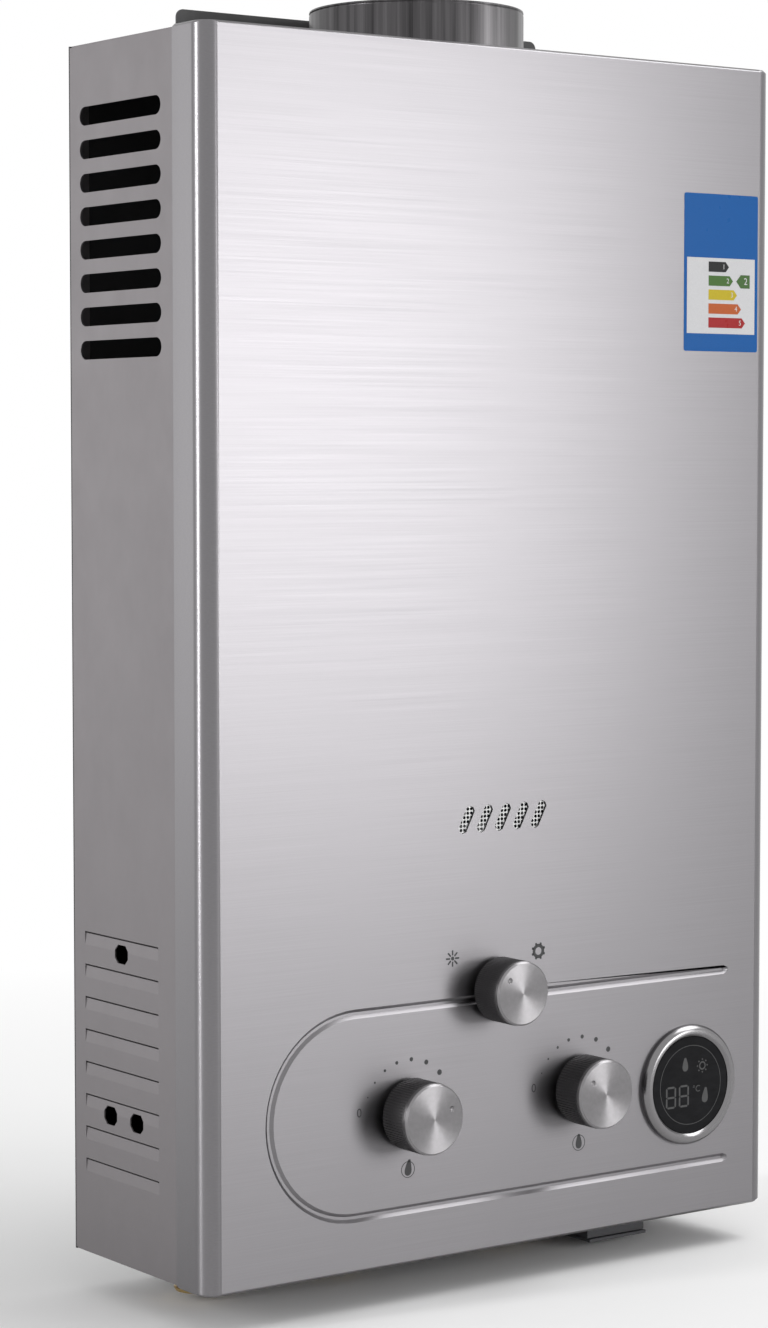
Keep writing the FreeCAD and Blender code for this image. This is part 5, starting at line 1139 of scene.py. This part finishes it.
def mixed(owner, share, first, second, output):
    """Mixes two shaders by a share and sends the mix to the surface."""
    mix = node_in(owner, "ShaderNodeMixShader")
    wire(owner, share, mix.inputs["Fac"])
    wire(owner, first, mix.inputs[1])
    wire(owner, second, mix.inputs[2])
    wire(owner, mix.outputs["Shader"], owner.node_tree.nodes[output].inputs["Surface"])


def studio_air():
    """World that shows plain white and lights the object softly."""
    world = bpy.data.worlds.new("studio air")
    world.use_nodes = True
    shown = world.node_tree.nodes["Background"]
    soft = node_in(world, "ShaderNodeBackground")
    for air, strength in ((shown, 1.0), (soft, 0.6)):
        air.inputs["Color"].default_value = WHITE
        air.inputs["Strength"].default_value = strength
    mixed(world, seen_share(world), soft.outputs["Background"], shown.outputs["Background"], "World Output")
    return world


def sweep_finish(colour):
    """Pale matt paper that turns plain white towards the background."""
    finish = new_finish("studio paper", colour, 0.0, 0.9)
    soft_gloss(finish, 0.1)
    relief(finish, grain(finish, 300.0), 0.0001, 0.3)
    place = node_in(finish, "ShaderNodeTexCoord")
    length = node_in(finish, "ShaderNodeVectorMath")
    length.operation = "LENGTH"
    wire(finish, place.outputs["Object"], length.inputs[0])
    far = spread(finish, length.outputs["Value"], 0.0, 1.0, SWEEP["white_from"], SWEEP["white_at"])
    share = node_in(finish, "ShaderNodeMath")
    share.operation = "MULTIPLY"
    wire(finish, far, share.inputs[0])
    wire(finish, seen_share(finish), share.inputs[1])
    glow = node_in(finish, "ShaderNodeEmission", Color=WHITE, Strength=1.0)
    mixed(finish, share.outputs["Value"], shader_of(finish).outputs["BSDF"], glow.outputs["Emission"],
          "Material Output")
    return finish


def lamp(name, place, target, wide, tall, power):
    """Soft rectangular lamp that faces a point."""
    light = bpy.data.objects.new(name, bpy.data.lights.new(name, "AREA"))
    bpy.context.scene.collection.objects.link(light)
    light.data.shape = "RECTANGLE"
    light.data.size = wide
    light.data.size_y = tall
    light.data.energy = power
    light.location = place
    light.rotation_euler = (Vector(target) - Vector(place)).to_track_quat("-Z", "Y").to_euler()


class HEATER_OT_stage(HeaterOperator, bpy.types.Operator):
    """Set the pale sweep, the soft lamps, the world and the camera"""
    bl_idname = "heater.stage"
    bl_label = "Stage"

    def execute(self, context):
        scene = context.scene
        height = CAD_BOX[0].z - SWEEP["gap"]
        back = SWEEP["side"] / 2 - 0.1
        floor = added("studio_sweep", bpy.ops.mesh.primitive_plane_add, size=SWEEP["side"])
        settle(floor, (0, 0, height))
        edit(floor, "EDGE", lambda edge: middle(edge).y > back, bpy.ops.mesh.extrude_region_move,
             TRANSFORM_OT_translate={"value": (0, 0, SWEEP["rise"])})
        edit(floor, "EDGE", lambda edge: abs(middle(edge).z - height) < NEAR and middle(edge).y > back,
             bpy.ops.mesh.bevel, offset=SWEEP["bend"], segments=16, affect="EDGES")
        shade(floor, 40)
        floor.data.materials.append(sweep_finish(colours().floor))

        scene.world = studio_air()
        lamp("key softbox", (1.16, -2.15, 0.22), (-0.08, -0.12, 0.05), 0.92, 0.95, 19)
        lamp("edge strip", (-2.30, 0.20, 0.35), (-0.17, -0.11, 0.15), 0.22, 1.3, 24)
        lamp("side softbox", (-1.5, 1.95, 0.25), (-0.17, -0.08, 0.0), 0.8, 1.4, 4)
        lamp("top softbox", (1.5, -0.65, 1.9), (0, -0.1, -0.2), 1.4, 1.4, 32)

        camera = bpy.data.objects.new("camera", bpy.data.cameras.new("camera"))
        scene.collection.objects.link(camera)
        camera.location = (-0.98855, -1.38839, 0.09648)
        yaw, pitch = math.radians(35.833), math.radians(3.619)
        ahead = Vector((math.sin(yaw) * math.cos(pitch), math.cos(yaw) * math.cos(pitch), -math.sin(pitch)))
        camera.rotation_euler = ahead.to_track_quat("-Z", "Y").to_euler()
        camera.data.lens = 89.01
        camera.data.sensor_width = 36
        camera.data.clip_start = 0.01
        scene.camera = camera
        scene.view_settings.view_transform = "Standard"
        return {"FINISHED"}


OPERATORS = (HEATER_OT_finishes, HEATER_OT_cover, HEATER_OT_casing, HEATER_OT_flue, HEATER_OT_window,
             HEATER_OT_dials, HEATER_OT_display, HEATER_OT_prints, HEATER_OT_sticker, HEATER_OT_screws,
             HEATER_OT_connections, HEATER_OT_battery_door, HEATER_OT_stage)


class HEATER_PT_pieces(bpy.types.Panel):
    """Lists the heater's pieces in the sidebar"""
    bl_idname = "HEATER_PT_pieces"
    bl_label = "Heater"
    bl_space_type = "VIEW_3D"
    bl_region_type = "UI"
    bl_category = "Heater"

    def draw(self, context):
        column = self.layout.column()
        for operator in OPERATORS:
            column.operator(operator.bl_idname)
        for group in (context.scene.heater_sizes, context.scene.heater_colours):
            box = self.layout.box()
            for key in group.__annotations__:
                box.prop(group, key)


CLASSES = (HeaterSizes, HeaterColours, *OPERATORS, HEATER_PT_pieces)


def register():
    for entry in CLASSES:
        bpy.utils.register_class(entry)
    bpy.types.Scene.heater_sizes = PointerProperty(type=HeaterSizes)
    bpy.types.Scene.heater_colours = PointerProperty(type=HeaterColours)


def unregister():
    del bpy.types.Scene.heater_colours
    del bpy.types.Scene.heater_sizes
    for entry in reversed(CLASSES):
        bpy.utils.unregister_class(entry)


def main():
    """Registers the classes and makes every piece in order."""
    register()
    bpy.ops.heater.finishes()
    bpy.ops.heater.cover()
    bpy.ops.heater.casing()
    bpy.ops.heater.flue()
    bpy.ops.heater.window()
    bpy.ops.heater.dials()
    bpy.ops.heater.display()
    bpy.ops.heater.prints()
    bpy.ops.heater.sticker()
    bpy.ops.heater.screws()
    bpy.ops.heater.connections()
    bpy.ops.heater.battery_door()
    bpy.ops.heater.stage()


if __name__ == "__main__":
    main()
